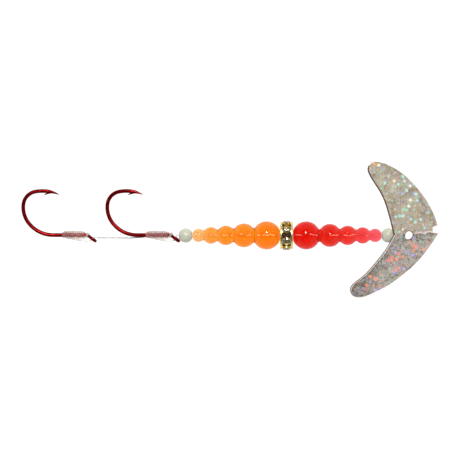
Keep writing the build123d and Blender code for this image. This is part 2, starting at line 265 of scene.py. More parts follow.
class Nodes:
    def __init__(self, name):
        self.mat = bpy.data.materials.new(name)
        self.mat.use_nodes = True
        self.nt = self.mat.node_tree
        self.nt.nodes.clear()
        self.out = self.nt.nodes.new("ShaderNodeOutputMaterial")
        self.bsdf = self.nt.nodes.new("ShaderNodeBsdfPrincipled")
        self.nt.links.new(self.bsdf.outputs[0], self.out.inputs[0])
        self._pos = None

    def new(self, kind, **props):
        n = self.nt.nodes.new(kind)
        for k, v in props.items():
            setattr(n, k, v)
        return n

    def link(self, a, b):
        self.nt.links.new(a, b)

    def feed(self, sock, v):
        if isinstance(v, bpy.types.NodeSocket):
            self.link(v, sock)
        else:
            sock.default_value = v

    def set(self, **kw):
        names = {"base": "Base Color", "metallic": "Metallic", "roughness": "Roughness", "ior": "IOR", "transmission": "Transmission Weight",
                 "sss": "Subsurface Weight", "sss_radius": "Subsurface Radius", "sss_scale": "Subsurface Scale", "coat": "Coat Weight",
                 "coat_roughness": "Coat Roughness", "coat_ior": "Coat IOR", "coat_tint": "Coat Tint", "specular": "Specular IOR Level",
                 "spec_tint": "Specular Tint", "normal": "Normal", "coat_normal": "Coat Normal", "emission": "Emission Color",
                 "emission_strength": "Emission Strength", "alpha": "Alpha", "sheen": "Sheen Weight"}
        for k, v in kw.items():
            self.feed(self.bsdf.inputs[names[k]], v)
        return self

    def absorb(self, colour, density):
        """Colour that deepens with the thickness the light passes through."""
        n = self.new("ShaderNodeVolumeAbsorption")
        n.inputs["Color"].default_value = colour
        n.inputs["Density"].default_value = density
        self.link(n.outputs[0], self.out.inputs["Volume"])

    def pos(self):
        """Position in mm of the row frame at rest, and it moves with the piece."""
        if self._pos is None:
            tc = self.new("ShaderNodeTexCoord")
            sc = self.new("ShaderNodeVectorMath", operation="SCALE")
            self.link(tc.outputs["Object"], sc.inputs[0])
            sc.inputs["Scale"].default_value = 1000.0
            self._pos = sc.outputs[0]
        return self._pos

    def math(self, op, a, b=None, c=None, clamp=False):
        n = self.new("ShaderNodeMath", operation=op, use_clamp=clamp)
        self.feed(n.inputs[0], a)
        if b is not None:
            self.feed(n.inputs[1], b)
        if c is not None:
            self.feed(n.inputs[2], c)
        return n.outputs[0]

    def vmath(self, op, a, b=None, scale=None):
        n = self.new("ShaderNodeVectorMath", operation=op)
        self.feed(n.inputs[0], a)
        if b is not None:
            self.feed(n.inputs[1], b)
        if scale is not None:
            self.feed(n.inputs["Scale"], scale)
        return n.outputs["Value"] if op in ("DOT_PRODUCT", "LENGTH", "DISTANCE") else n.outputs[0]

    def xyz(self, v):
        n = self.new("ShaderNodeSeparateXYZ")
        self.link(v, n.inputs[0])
        return n.outputs

    def combine(self, x, y, z):
        n = self.new("ShaderNodeCombineXYZ")
        for i, q in enumerate((x, y, z)):
            self.feed(n.inputs[i], q)
        return n.outputs[0]

    def rot(self, v, z=0.0, move=(0, 0, 0), scale=(1, 1, 1), kind="POINT"):
        n = self.new("ShaderNodeMapping", vector_type=kind)
        self.link(v, n.inputs["Vector"])
        n.inputs["Location"].default_value = move
        n.inputs["Rotation"].default_value = (0, 0, z)
        n.inputs["Scale"].default_value = scale
        return n.outputs[0]

    def noise(self, v, scale, detail=2.0, rough=0.5, distortion=0.0, w=None):
        n = self.new("ShaderNodeTexNoise")
        self.link(v, n.inputs["Vector"])
        n.inputs["Scale"].default_value = scale
        n.inputs["Detail"].default_value = detail
        n.inputs["Roughness"].default_value = rough
        n.inputs["Distortion"].default_value = distortion
        return n.outputs["Fac"]

    def voronoi(self, v, scale, feature="F1", dims="2D", metric="EUCLIDEAN", randomness=1.0):
        n = self.new("ShaderNodeTexVoronoi", voronoi_dimensions=dims, feature=feature, distance=metric)
        self.link(v, n.inputs["Vector"])
        n.inputs["Scale"].default_value = scale
        n.inputs["Randomness"].default_value = randomness
        return n.outputs

    def ramp(self, fac, stops, interp="LINEAR"):
        n = self.new("ShaderNodeValToRGB")
        cr = n.color_ramp
        cr.interpolation = interp
        while len(cr.elements) > 1:
            cr.elements.remove(cr.elements[-1])
        cr.elements[0].position = stops[0][0]
        cr.elements[0].color = stops[0][1]
        for p, c in stops[1:]:
            e = cr.elements.new(p)
            e.color = c
        self.feed(n.inputs[0], fac)
        return n.outputs[0]

    def step(self, v, lo, hi, out_lo=0.0, out_hi=1.0, smooth=True):
        n = self.new("ShaderNodeMapRange", interpolation_type="SMOOTHSTEP" if smooth else "LINEAR", clamp=True)
        self.feed(n.inputs["Value"], v)
        n.inputs["From Min"].default_value = lo
        n.inputs["From Max"].default_value = hi
        n.inputs["To Min"].default_value = out_lo
        n.inputs["To Max"].default_value = out_hi
        return n.outputs[0]

    def mix(self, fac, a, b, mode="MIX"):
        n = self.new("ShaderNodeMix", data_type="RGBA", blend_type=mode)
        self.feed(n.inputs[0], fac)
        self.feed(n.inputs[6], a)
        self.feed(n.inputs[7], b)
        return n.outputs[2]

    def bump(self, height, strength=0.3, distance=0.05, normal=None):
        n = self.new("ShaderNodeBump")
        n.inputs["Strength"].default_value = strength
        n.inputs["Distance"].default_value = distance * MM
        self.link(height, n.inputs["Height"])
        if normal is not None:
            self.link(normal, n.inputs["Normal"])
        return n.outputs[0]


# ================================================================ materials
def hook_lacquer():
    """Deep red see-through lacquer over bright wire: pooled unevenly, with drawing marks along the wire."""
    k = Nodes("hook_red_lacquer")
    p = k.pos()
    pool = k.noise(p, 0.9, 3, 0.55)
    fine = k.noise(p, 9.0, 3, 0.6)
    base = k.ramp(pool, [(0.30, rgb(92, 7, 9)), (0.52, rgb(110, 10, 12)), (0.72, rgb(134, 18, 20))])
    base = k.mix(k.step(fine, 0.62, 0.78, 0, 0.35), base, rgb(60, 4, 6))
    rough = k.step(fine, 0.25, 0.8, 0.24, 0.36, smooth=False)
    k.set(base=base, metallic=0.82, roughness=rough, coat=0.03, coat_roughness=0.05, coat_ior=1.45, specular=0.2, spec_tint=(0.62, 0.09, 0.09, 1.0),
          normal=k.bump(fine, 0.12, 0.02))
    return k.mat


def clear_line(name, tones, clear, ior):
    """Clear monofilament with fine drawing streaks and scuffs, hazier where the scuffs are."""
    k = Nodes(name)
    p = k.pos()
    scuff = k.noise(k.rot(p, scale=(0.8, 5.0, 5.0)), 1.6, 3, 0.6)
    base = k.ramp(scuff, [(0.3, tones[0]), (0.6, tones[1]), (0.8, tones[2])])
    k.set(base=base, roughness=k.step(scuff, 0.3, 0.8, 0.02, 0.10), transmission=clear, ior=ior,
          normal=k.bump(scuff, 0.08, 0.01))
    return k.mat


def glow_plastic(name="glow_bead_plastic"):
    """Pale greenish milky plastic with the pigment slightly clouded."""
    k = Nodes(name)
    p = k.pos()
    cloud = k.noise(p, 0.55, 4, 0.55)
    grain = k.noise(p, 7.0, 2, 0.6)
    base = k.ramp(cloud, [(0.32, rgb(187, 188, 170)), (0.55, rgb(196, 197, 180)), (0.75, rgb(205, 206, 190))])
    base = k.mix(k.step(grain, 0.55, 0.8, 0, 0.2), base, rgb(181, 187, 165))
    k.set(base=base, roughness=k.step(grain, 0.3, 0.8, 0.28, 0.44), sss=0.8, sss_radius=(1.0, 1.0, 0.8), sss_scale=0.0015,
          transmission=0.12, ior=1.49, specular=0.5, normal=k.bump(grain, 0.15, 0.02))
    return k.mat


def body_plastic(name, tip_x, end_x, stops, box, pale):
    """Clear coloured plastic, thick lobes deeper and the small end paler, with short painted highlights along its
    crest.
    """
    k = Nodes(name)
    p = k.pos()
    x = k.xyz(p)[0]
    along = k.step(x, tip_x, end_x, 0, 1, smooth=False)
    haze = k.noise(p, 0.6, 2, 0.5)
    swirl = k.noise(k.rot(p, scale=(0.5, 1.6, 1.6)), 1.0, 2, 0.5, 0.5)
    tone = k.ramp(along, stops)
    tone = k.mix(k.step(swirl, 0.5, 0.8, 0, 0.12), tone, stops[1][1])
    tone = k.mix(k.step(haze, 0.5, 0.85, 0, 0.10), tone, stops[-1][1])
    rough = k.step(k.noise(p, 3.5, 2, 0.5), 0.35, 0.8, 0.03, 0.07)
    # painted highlight: short pale glints along the crest line above the axis, where light glints in a clear bead
    _, y, z = k.xyz(p)
    drift = k.noise(k.rot(p, scale=(1.0, 0.0, 0.0)), 0.5, 1, 0.5)
    off = k.math("SUBTRACT", k.math("SUBTRACT", y, float(box[0][1] + box[1][1]) / 2), k.step(drift, 0.3, 0.7, -0.25, 0.45, smooth=False))
    line = k.step(k.math("ABSOLUTE", off), 0.07, 0.22, 1, 0)
    run = k.step(k.noise(k.rot(p, scale=(1.0, 0.35, 0.35)), 1.15, 1, 0.5), 0.515, 0.575)
    painted_glint = k.math("MULTIPLY", k.math("MULTIPLY", line, run), k.step(z, float(box[0][2] + box[1][2]) / 2, float(box[0][2] + box[1][2]) / 2 + 0.8))
    painted_glint = k.math("MULTIPLY", painted_glint, 0.6)
    # painted highlight: the glint mask lightens the tone and lowers the clearness
    tone = k.mix(painted_glint, tone, pale)
    clear = k.step(painted_glint, 0.0, 0.6, 0.86, 0.42, smooth=False)
    return k, p, tone, rough, clear, haze


def orange_clear(box):
    k, p, tone, rough, clear, haze = body_plastic("orange_clear_plastic", box[0][0], box[1][0],
                                                  [(0.06, rgb(255, 204, 135)), (0.21, rgb(255, 177, 72)), (0.38, rgb(255, 168, 46)), (1.0, rgb(255, 152, 5))], box, rgb(255, 232, 190))
    k.set(base=tone, roughness=rough, transmission=clear, ior=1.22, sss=0.8, sss_radius=(1.0, 0.5, 0.2),
          sss_scale=0.0015, coat=0.10, coat_roughness=0.03, coat_ior=1.5, normal=k.bump(haze, 0.06, 0.05))
    k.absorb((1.0, 0.49, 0.07, 1.0), 150.0)
    return k.mat


def red_clear(box):
    k, p, tone, rough, clear, haze = body_plastic("red_clear_plastic", box[1][0], box[0][0],
                                                  [(0.06, rgb(249, 117, 130)), (0.21, rgb(240, 92, 90)), (0.38, rgb(235, 69, 57)), (0.58, rgb(230, 59, 36)), (1.0, rgb(225, 28, 4))], box, rgb(255, 196, 186))
    k.set(base=tone, roughness=rough, transmission=clear, ior=1.22, sss=0.8, sss_radius=(1.0, 0.35, 0.25),
          sss_scale=0.0015, coat=0.10, coat_roughness=0.03, coat_ior=1.5, normal=k.bump(haze, 0.06, 0.05))
    k.absorb((0.97, 0.15, 0.13, 1.0), 200.0)
    return k.mat


def bore_wall(name, colour):
    """The drilled wall inside a clear bead: satin, with near-white flecks that are partly whitened drilling score and
    partly painted glints.
    """
    k = Nodes(name)
    p = k.pos()
    score_and_glint = k.noise(k.rot(p, scale=(6, 1, 1)), 3.0, 3, 0.6)
    # near-white flecks: partly whitened drilling score, partly painted glints
    k.set(base=k.mix(k.step(score_and_glint, 0.4, 0.8, 0, 0.4), colour, rgb(255, 250, 244)), roughness=k.step(score_and_glint, 0.3, 0.8, 0.05, 0.15),
          transmission=1.0, ior=1.03, normal=k.bump(score_and_glint, 0.2, 0.03))
    return k.mat


def gold(name, bright=1.0, dark=0.0):
    """Light gold plate: tone varies at random, with darker scratch marks; dark mixes in an even dark brown, partly
    tarnish and partly painted shade.
    """
    k = Nodes(name)
    p = k.pos()
    cloud = k.noise(p, 1.3, 4, 0.6)
    scr = k.noise(k.rot(p, scale=(9, 1, 1)), 2.4, 4, 0.65)
    base = k.ramp(cloud, [(0.25, rgb(176, 146, 78)), (0.5, rgb(222, 202, 132)), (0.75, rgb(244, 232, 176))])
    base = k.mix(k.step(scr, 0.58, 0.8, 0, 0.35), base, rgb(150, 116, 56))
    # painted shade with tarnish: dark darkens the whole copy evenly
    if dark:
        base = k.mix(dark, base, rgb(46, 26, 14))
    k.set(base=base, metallic=1.0, roughness=k.step(scr, 0.3, 0.8, 0.22, 0.42), normal=k.bump(scr, 0.2, 0.02))
    return k.mat


def recess():
    """Dark tarnish and dirt between the stones, darkened further as painted shade."""
    k = Nodes("ring_recess_tarnish_and_shade")
    p = k.pos()
    n = k.noise(p, 2.2, 4, 0.6)
    k.set(base=k.ramp(n, [(0.3, rgb(40, 18, 10)), (0.55, rgb(58, 32, 18)), (0.8, rgb(92, 64, 36))]), metallic=0.2, specular=0.2,
          roughness=k.step(n, 0.3, 0.8, 0.45, 0.7), normal=k.bump(n, 0.4, 0.05))
    return k.mat


def foil():
    k = Nodes("stone_foil_back")
    p = k.pos()
    n = k.noise(p, 6.0, 3, 0.5)
    k.set(base=k.ramp(n, [(0.3, rgb(196, 160, 92)), (0.55, rgb(226, 202, 144)), (0.78, rgb(250, 242, 220))]), metallic=k.step(n, 0.3, 0.8, 0.75, 0.5), roughness=k.step(n, 0.3, 0.8, 0.14, 0.3))
    return k.mat


def crystal():
    k = Nodes("clear_crystal")
    p = k.pos()
    n = k.noise(p, 3.0, 3, 0.5)
    k.set(base=k.ramp(n, [(0.3, rgb(246, 238, 218)), (0.7, rgb(255, 251, 240))]), roughness=k.step(n, 0.35, 0.9, 0.0, 0.05), transmission=1.0, ior=1.62)
    return k.mat


# ---------------------------------------------------------------- sparkle film
def fold_side(k, fold_pt, fold_dir):
    """Signed distance in mm from the fold line in plan, + on the far wing, and the run along it."""
    x, y, z = k.xyz(k.pos())
    dx = k.math("SUBTRACT", x, float(fold_pt[0]))
    dy = k.math("SUBTRACT", y, float(fold_pt[1]))
    c, s = float(fold_dir[0]), float(fold_dir[1])
    side = k.math("SUBTRACT", k.math("MULTIPLY", dy, c), k.math("MULTIPLY", dx, s))
    run = k.math("ADD", k.math("MULTIPLY", dx, c), k.math("MULTIPLY", dy, s))
    return side, run


def dots(k, v, scale, share, size, seed, soft=0.12):
    """Round specks: a mask, and a random number for each."""
    out = k.voronoi(k.rot(v, move=(seed * 3.7, seed * 1.9, 0)), scale, randomness=0.75)
    r = k.xyz(out["Color"])
    on = k.math("GREATER_THAN", r[0], 1 - share)
    grow = k.math("MULTIPLY_ADD", r[2], 0.35, 0.8)
    d = k.math("DIVIDE", out["Distance"], grow)
    m = k.step(d, size - soft, size + soft, 1, 0)
    return k.math("MULTIPLY", m, on), r[1]


# painted glints: the specks that flash brightest as the blade lies, painted in at their places: (x, y, radius, colour)
FLASH_FAR = ((45.95, 13.60, 0.42, (255, 252, 208)), (50.60, 8.25, 0.46, (255, 250, 206)), (50.05, 6.50, 0.44, (255, 252, 226)),
             (41.65, 18.00, 0.48, (255, 250, 214)), (40.30, 18.35, 0.50, (250, 178, 122)),
             (48.85, 13.50, 0.40, (196, 240, 228)), (47.10, 12.60, 0.42, (188, 236, 220)), (52.10, 9.90, 0.42, (206, 246, 238)),
             (52.45, 8.15, 0.40, (196, 238, 232)), (48.50, 5.60, 0.44, (182, 236, 214)), (50.70, 2.90, 0.42, (184, 236, 216)), (51.90, 2.05, 0.42, (190, 238, 222)))
FLASH_NEAR = ((52.10, -4.90, 0.56, (255, 158, 140)), (54.25, -5.60, 0.48, (255, 166, 148)), (46.70, -8.30, 0.54, (255, 160, 144)),
              (46.50, -11.35, 0.56, (255, 156, 136)), (40.80, -13.90, 0.56, (255, 152, 132)), (39.20, -13.20, 0.46, (255, 146, 116)),
              (38.35, -15.60, 0.46, (255, 142, 110)), (51.20, -7.15, 0.44, (196, 178, 244)), (46.05, -12.10, 0.46, (190, 172, 240)),
              (48.65, -11.00, 0.46, (198, 182, 244)), (40.70, -17.10, 0.46, (194, 178, 240)))


def flash(k, tone, x, y, spots, side):
    """Paint each listed speck's glint over the tone."""
    for sx, sy, r, c in spots:
        dx, dy = k.math("SUBTRACT", x, sx), k.math("SUBTRACT", y, sy)
        d2 = k.math("ADD", k.math("MULTIPLY", dx, dx), k.math("MULTIPLY", dy, dy))
        m = k.math("MULTIPLY", k.step(d2, (r * 0.72) ** 2, (r * 1.18) ** 2, 1, 0), side)
        tone = k.mix(m, tone, rgb(*c))
    return tone


def sparkle_film(fold_pt, fold_dir, name="sparkle_film", back=False):
    """Holographic film on sheet metal: small round specks that each flash a colour of their own, painted in as painted
    glints, on a ground tone painted per wing as painted reflection.
    """
    k = Nodes(name)
    p = k.pos()
    x, y, z = k.xyz(p)
    flat = k.combine(x, y, 0.0)
    side, run = fold_side(k, fold_pt, fold_dir)
    far = k.step(side, -0.12, 0.12)
    near = k.math("SUBTRACT", 1.0, far)
    # ground tone, painted per wing as painted reflection: the far wing lighter and warmer, the near wing darker and
    # greyer, for how each wing meets the light
    cells = k.voronoi(flat, 2.9)
    cr = k.xyz(cells["Color"])
    blotch = k.noise(flat, 0.34, 3, 0.55)
    blotch2 = k.noise(k.rot(flat, 0.6, (31, 7, 0)), 0.55, 4, 0.62)
    up_tone = k.ramp(blotch, [(0.34, rgb(156, 138, 109)), (0.5, rgb(180, 164, 134)), (0.66, rgb(200, 187, 161))])
    # the near wing is darker along its inner side and at the tip
    across = k.math("SUBTRACT", k.math("MULTIPLY", x, 0.65), k.math("MULTIPLY", y, 0.76))
    shade = k.math("ADD", k.step(across, 32.4, 37.6, -0.15, 0.13), k.step(x, 36.0, 44.0, -0.25, 0.0))
    by_hub = k.vmath("DISTANCE", flat, (45.8, -3.0, 0.0))
    shade = k.math("ADD", shade, k.step(by_hub, 1.5, 4.5, 0.14, 0.0))
    lo_tone = k.ramp(k.math("ADD", blotch2, shade), [(0.26, rgb(92, 80, 66)), (0.42, rgb(128, 118, 102)), (0.56, rgb(164, 154, 137)), (0.74, rgb(200, 190, 174))])
    # painted reflection: each wing gets its own ground tone
    tone = k.mix(far, lo_tone, up_tone)
    tone = k.mix(k.step(cr[0], 0.3, 1.0, 0.0, 0.26), tone, rgb(220, 212, 196))
    tone = k.mix(k.step(cr[1], 0.6, 1.0, 0.0, 0.26), tone, rgb(104, 92, 78))
    # fine woven look of the near wing
    t1 = k.xyz(k.rot(flat, 0.62))
    wv = 2 * math.pi / 0.66
    weave = k.math("MULTIPLY", k.math("SINE", k.math("MULTIPLY", t1[0], wv)), k.math("SINE", k.math("MULTIPLY", t1[1], wv)))
    tone = k.mix(k.math("MULTIPLY", k.step(weave, 0.0, 0.8, 0, 0.42), near), tone, rgb(62, 58, 52))
    tone = k.mix(k.math("MULTIPLY", k.step(weave, -0.9, -0.1, 0.30, 0), near), tone, rgb(222, 216, 204))
    # faint coloured specks
    m1, r1 = dots(k, flat, 1.15, 0.55, 0.42, 1, 0.16)
    faint_up = k.ramp(r1, [(0.0, rgb(178, 166, 202)), (0.30, rgb(204, 176, 178)), (0.48, rgb(164, 214, 194)), (0.70, rgb(186, 194, 214)), (0.88, rgb(222, 214, 198))], "CONSTANT")
    faint_lo = k.ramp(r1, [(0.0, rgb(164, 154, 192)), (0.22, rgb(158, 204, 186)), (0.48, rgb(208, 202, 188)), (0.70, rgb(222, 160, 144)), (0.84, rgb(86, 82, 72))], "CONSTANT")
    tipward = k.step(k.math("MULTIPLY_ADD", far, 20.0, x), 38.0, 44.0, 0.35, 1.0)
    tone = k.mix(k.math("MULTIPLY", k.math("MULTIPLY", m1, 0.62), tipward), tone, k.mix(far, faint_lo, faint_up))
    m1b, r1b = dots(k, flat, 1.9, 0.42, 0.42, 5)
    tone = k.mix(k.math("MULTIPLY", m1b, 0.5), tone, k.mix(far, k.ramp(r1b, [(0.0, rgb(84, 80, 74)), (0.4, rgb(208, 202, 192)), (0.7, rgb(170, 156, 196))], "CONSTANT"),
                                                          k.ramp(r1b, [(0.0, rgb(202, 194, 178)), (0.4, rgb(158, 146, 160)), (0.7, rgb(176, 206, 192))], "CONSTANT")))
    # bright specks: painted glints in the colours the film flashes on each wing
    m2, r2 = dots(k, flat, 0.98, 0.13, 0.46, 2)
    hot_up = k.ramp(r2, [(0.0, rgb(180, 234, 214)), (0.5, rgb(200, 242, 230)), (0.68, rgb(190, 184, 220)), (0.90, rgb(236, 238, 236))], "CONSTANT")
    hot_lo = k.ramp(r2, [(0.0, rgb(255, 150, 130)), (0.36, rgb(250, 172, 156)), (0.50, rgb(192, 174, 238)), (0.78, rgb(208, 192, 246)), (0.88, rgb(172, 234, 220))], "CONSTANT")
    gather = k.noise(k.rot(flat, 0.2, (3, 11, 0)), 0.16, 2, 0.5)
    m2 = k.math("MULTIPLY", k.math("MULTIPLY", m2, k.step(gather, 0.36, 0.52, 0.3, 1.0)), tipward)
    tone = k.mix(m2, tone, k.mix(far, hot_lo, hot_up))
    # painted glints at the specks that flash brightest, on the top face only
    if not back:
        tone = flash(k, tone, x, y, FLASH_FAR, far)
        tone = flash(k, tone, x, y, FLASH_NEAR, near)
    # fold: a painted highlight along it, and a painted shade line under it
    ahead = k.step(run, 1.4, 2.0)
    wob = k.noise(flat, 0.8, 2, 0.5)
    fs = k.math("ADD", side, k.step(wob, 0.3, 0.7, -0.18, 0.18))
    streak = k.math("MULTIPLY", k.math("MULTIPLY", k.step(fs, 0.02, 0.2), k.step(fs, 0.45, 0.75, 1, 0)), ahead)
    tone = k.mix(k.math("MULTIPLY", streak, 0.85), tone, k.mix(k.step(wob, 0.45, 0.6), rgb(244, 234, 222), rgb(240, 196, 200)))
    # painted shade: the dark line under the fold
    under = k.math("MULTIPLY", k.math("MULTIPLY", k.step(fs, -0.75, -0.35), k.step(fs, -0.15, 0.05, 1, 0)), ahead)
    tone = k.mix(k.math("MULTIPLY", under, 0.55), tone, rgb(88, 80, 72))
    # each speck faces its own way
    geo = k.new("ShaderNodeNewGeometry")
    jit = k.voronoi(k.rot(flat, move=(5.1, 2.3, 0)), 1.6, randomness=1.0)["Color"]
    jit = k.vmath("SUBTRACT", jit, (0.5, 0.5, 0.5))
    nrm = k.vmath("NORMALIZE", k.vmath("ADD", geo.outputs["Normal"], k.vmath("SCALE", jit, scale=0.28)))
    k.set(base=tone, metallic=k.step(cr[2], 0.0, 1.0, 0.15, 0.45), roughness=k.step(cr[1], 0, 1, 0.30, 0.48), coat=0.15, coat_roughness=0.18,
          normal=nrm)
    return k.mat


def edge_dark():
    """The sheared edge, bare and brown."""
    k = Nodes("blade_cut_edge")
    n = k.noise(k.pos(), 2.0, 3, 0.6)
    k.set(base=k.ramp(n, [(0.3, rgb(86, 62, 54)), (0.6, rgb(118, 90, 78)), (0.85, rgb(150, 122, 106))]), metallic=0.5, roughness=k.step(n, 0.3, 0.8, 0.35, 0.55))
    return k.mat


def edge_light():
    """The film's trimmed border, a bright hairline: a painted highlight where the edge catches the light."""
    k = Nodes("blade_film_border_highlight")
    n = k.noise(k.pos(), 1.6, 3, 0.6)
    k.set(base=k.ramp(n, [(0.3, rgb(232, 214, 208)), (0.6, rgb(246, 234, 228)), (0.85, rgb(255, 248, 242))]), metallic=k.step(n, 0.3, 0.8, 0.2, 0.0), roughness=k.step(n, 0.3, 0.8, 0.25, 0.4))
    return k.mat


# ================================================================ pieces
HOOK_MAT = hook_lacquer()
LINK_MAT = clear_line("clear_monofilament", (rgb(184, 182, 177), rgb(190, 188, 183), rgb(196, 194, 189)), 0.15, 1.36)
LEADER_MAT = clear_line("clear_monofilament_leader", (rgb(240, 238, 233), rgb(245, 243, 239), rgb(251, 250, 248)), 1.0, 1.20)
SNELL_MAT = clear_line("clear_monofilament_knot", (rgb(244, 239, 232), rgb(250, 246, 240), rgb(255, 252, 248)), 0.62, 1.28)
# the wraps' pink tones are painted light: the red wire beneath seen through the clear line
WRAP_MAT = clear_line("clear_monofilament_wraps", (rgb(238, 172, 168), rgb(250, 210, 206), rgb(255, 238, 234)), 0.76, 1.30)

LINE_R = 0.175
WIRE_R = 0.55
EYE_MAJOR = 0.95
EYE_WIRE_R = 0.45
SHANK_Y = 1.09
BEND_START_X = -11.05
BEND = ((3.86, 8.71), (4.23, 8.76), (5.59, 7.14), (5.09, 4.03), (5.20, 11.9), (1.60, 8.0))
POINT_TAPER = 3.45
EYE_OF_FRONT = JOINT["front_hook_swing"] + np.array((-0.62, -1.00, -1.10))
REAR_TILT, FRONT_TILT = 2.48, 8.03


def placer(eye, tilt):
    t = math.radians(tilt)

    def put(pts):
        q = np.asarray(pts, float)
        x, y, z = q[..., 0], q[..., 1], q[..., 2]
        return np.stack([eye[0] + x * math.cos(t) - z * math.sin(t), eye[1] + y, eye[2] + x * math.sin(t) + z * math.cos(t)], -1)
    return put


put_front = placer(EYE_OF_FRONT, FRONT_TILT)
t = math.radians(REAR_TILT)
EYE_OF_REAR = JOINT["rear_hook_swing"] - np.array((1.62 * math.cos(t), 0.36, 1.62 * math.sin(t)))
put_rear = placer(EYE_OF_REAR, REAR_TILT)


def hook_path():
    """Wire centres in the hook's own plane and the length along them: eye ring, shank, bend, point."""
    pts, rad = [], []
    u = np.array((-0.8, 0.6, 0.0))
    w = np.array((0.0, 0.0, 1.0))
    # ring of the eye, from its ground end round to where it leaves for the shank
    ring = []
    for i in range(49):
        a = math.radians(-16 - (360 - 16 - 40) * i / 48)
        ring.append(EYE_MAJOR * (math.cos(a) * u + math.sin(a) * w))
    ring = np.array(ring)
    neck = nurbs([ring[-1], ring[-1] + 0.30 * (ring[-1] - ring[-2]) / np.linalg.norm(ring[-1] - ring[-2]), u * 1.42 + w * 0.30, u * 1.85 + w * 0.05,
                  u * 2.0, ], 12)
    pts = [ring, neck[1:]]
    # elbow into the shank
    s = (SHANK_Y - 0.6 * EYE_MAJOR) / 0.6
    corner = np.array((-0.8 * EYE_MAJOR - 0.8 * s, SHANK_Y, 0))
    el = nurbs([u * 2.0 if np.linalg.norm(u * 2.0) < np.linalg.norm(corner) else corner - u * 0.3, corner, corner + np.array((-0.75, 0, 0)), corner + np.array((-1.3, 0, 0))], 12, 3)
    pts.append(el[1:] if np.linalg.norm(el[0] - neck[-1]) < 1e-3 else el)
    x0 = pts[-1][-1][0]
    pts.append(np.array([(x, SHANK_Y, 0) for x in np.linspace(x0, BEND_START_X, 30)[1:]]))
    x, y, h = BEND_START_X, SHANK_Y, math.pi
    bend = []
    for length, r in BEND:
        cx, cy = x + r * math.sin(h), y - r * math.cos(h)
        m = max(6, int(length / 0.22))
        for i in range(1, m + 1):
            hh = h - (length * i / m) / r
            bend.append((cx - r * math.sin(hh), cy + r * math.cos(hh), 0))
        h = h - length / r
        x, y = bend[-1][0], bend[-1][1]
    pts.append(np.array(bend))
    path = np.concatenate(pts)
    s = arclen(path)
    return path, s


def make_hook(name, put, node, body):
    path, s = hook_path()
    total = s[-1]
    # soften the joins between runs
    step = 0.16
    fine = resample(path, step)
    for _ in range(3):
        fine[1:-1] = 0.25 * fine[:-2] + 0.5 * fine[1:-1] + 0.25 * fine[2:]
    s = arclen(fine)
    total = s[-1]
    ring_len = 2 * math.pi * EYE_MAJOR
    rad = np.interp(s, [0, 0.5, 1.1, ring_len * 0.9, ring_len * 1.2, ring_len * 1.6], [0.28, 0.38, EYE_WIRE_R, EYE_WIRE_R, 0.50, WIRE_R])
    t = np.clip((s - (total - POINT_TAPER)) / POINT_TAPER, 0, 1)
    rad = rad * (1 - t ** 1.35) + 0.07 * t
    # ground point: slightly hollow below, so it is narrower side to side than in the plane
    sq = [(1.0 - 0.16 * math.sin(math.pi * min(1, q)) if q > 0 else 1.0, 1.0) for q in t]
    v, f = swept(fine, rad, 20, (True, True), sq)
    # barb: cut from the inside of the wire and lifted
    bar = nurbs([(-11.35, 13.16, 0), (-12.0, 12.97, 0), (-12.85, 12.72, 0), (-13.45, 12.44, 0), (-13.86, 12.25, 0)], 10)
    bt = np.linspace(0, 1, len(bar))
    br = np.interp(bt, [0, 0.35, 0.7, 1], [0.30, 0.27, 0.15, 0.02])
    v2, f2 = swept(bar, br, 12, (True, True), [(0.75, 1.0)] * len(bar))
    vs, fs, ms = joined([(v, f), (v2, f2)])
    ob = to_object(name, put(vs), fs, [HOOK_MAT])
    sharp(ob, 50)
    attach(ob, body)
    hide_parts(node)
    return ob


def around(x, ang, r, yc=SHANK_Y, zc=0.0):
    """Points round the shank: ang 0 is up in the plane (+Y)."""
    return np.stack([x, yc + r * np.cos(ang), zc + r * np.sin(ang)], -1)


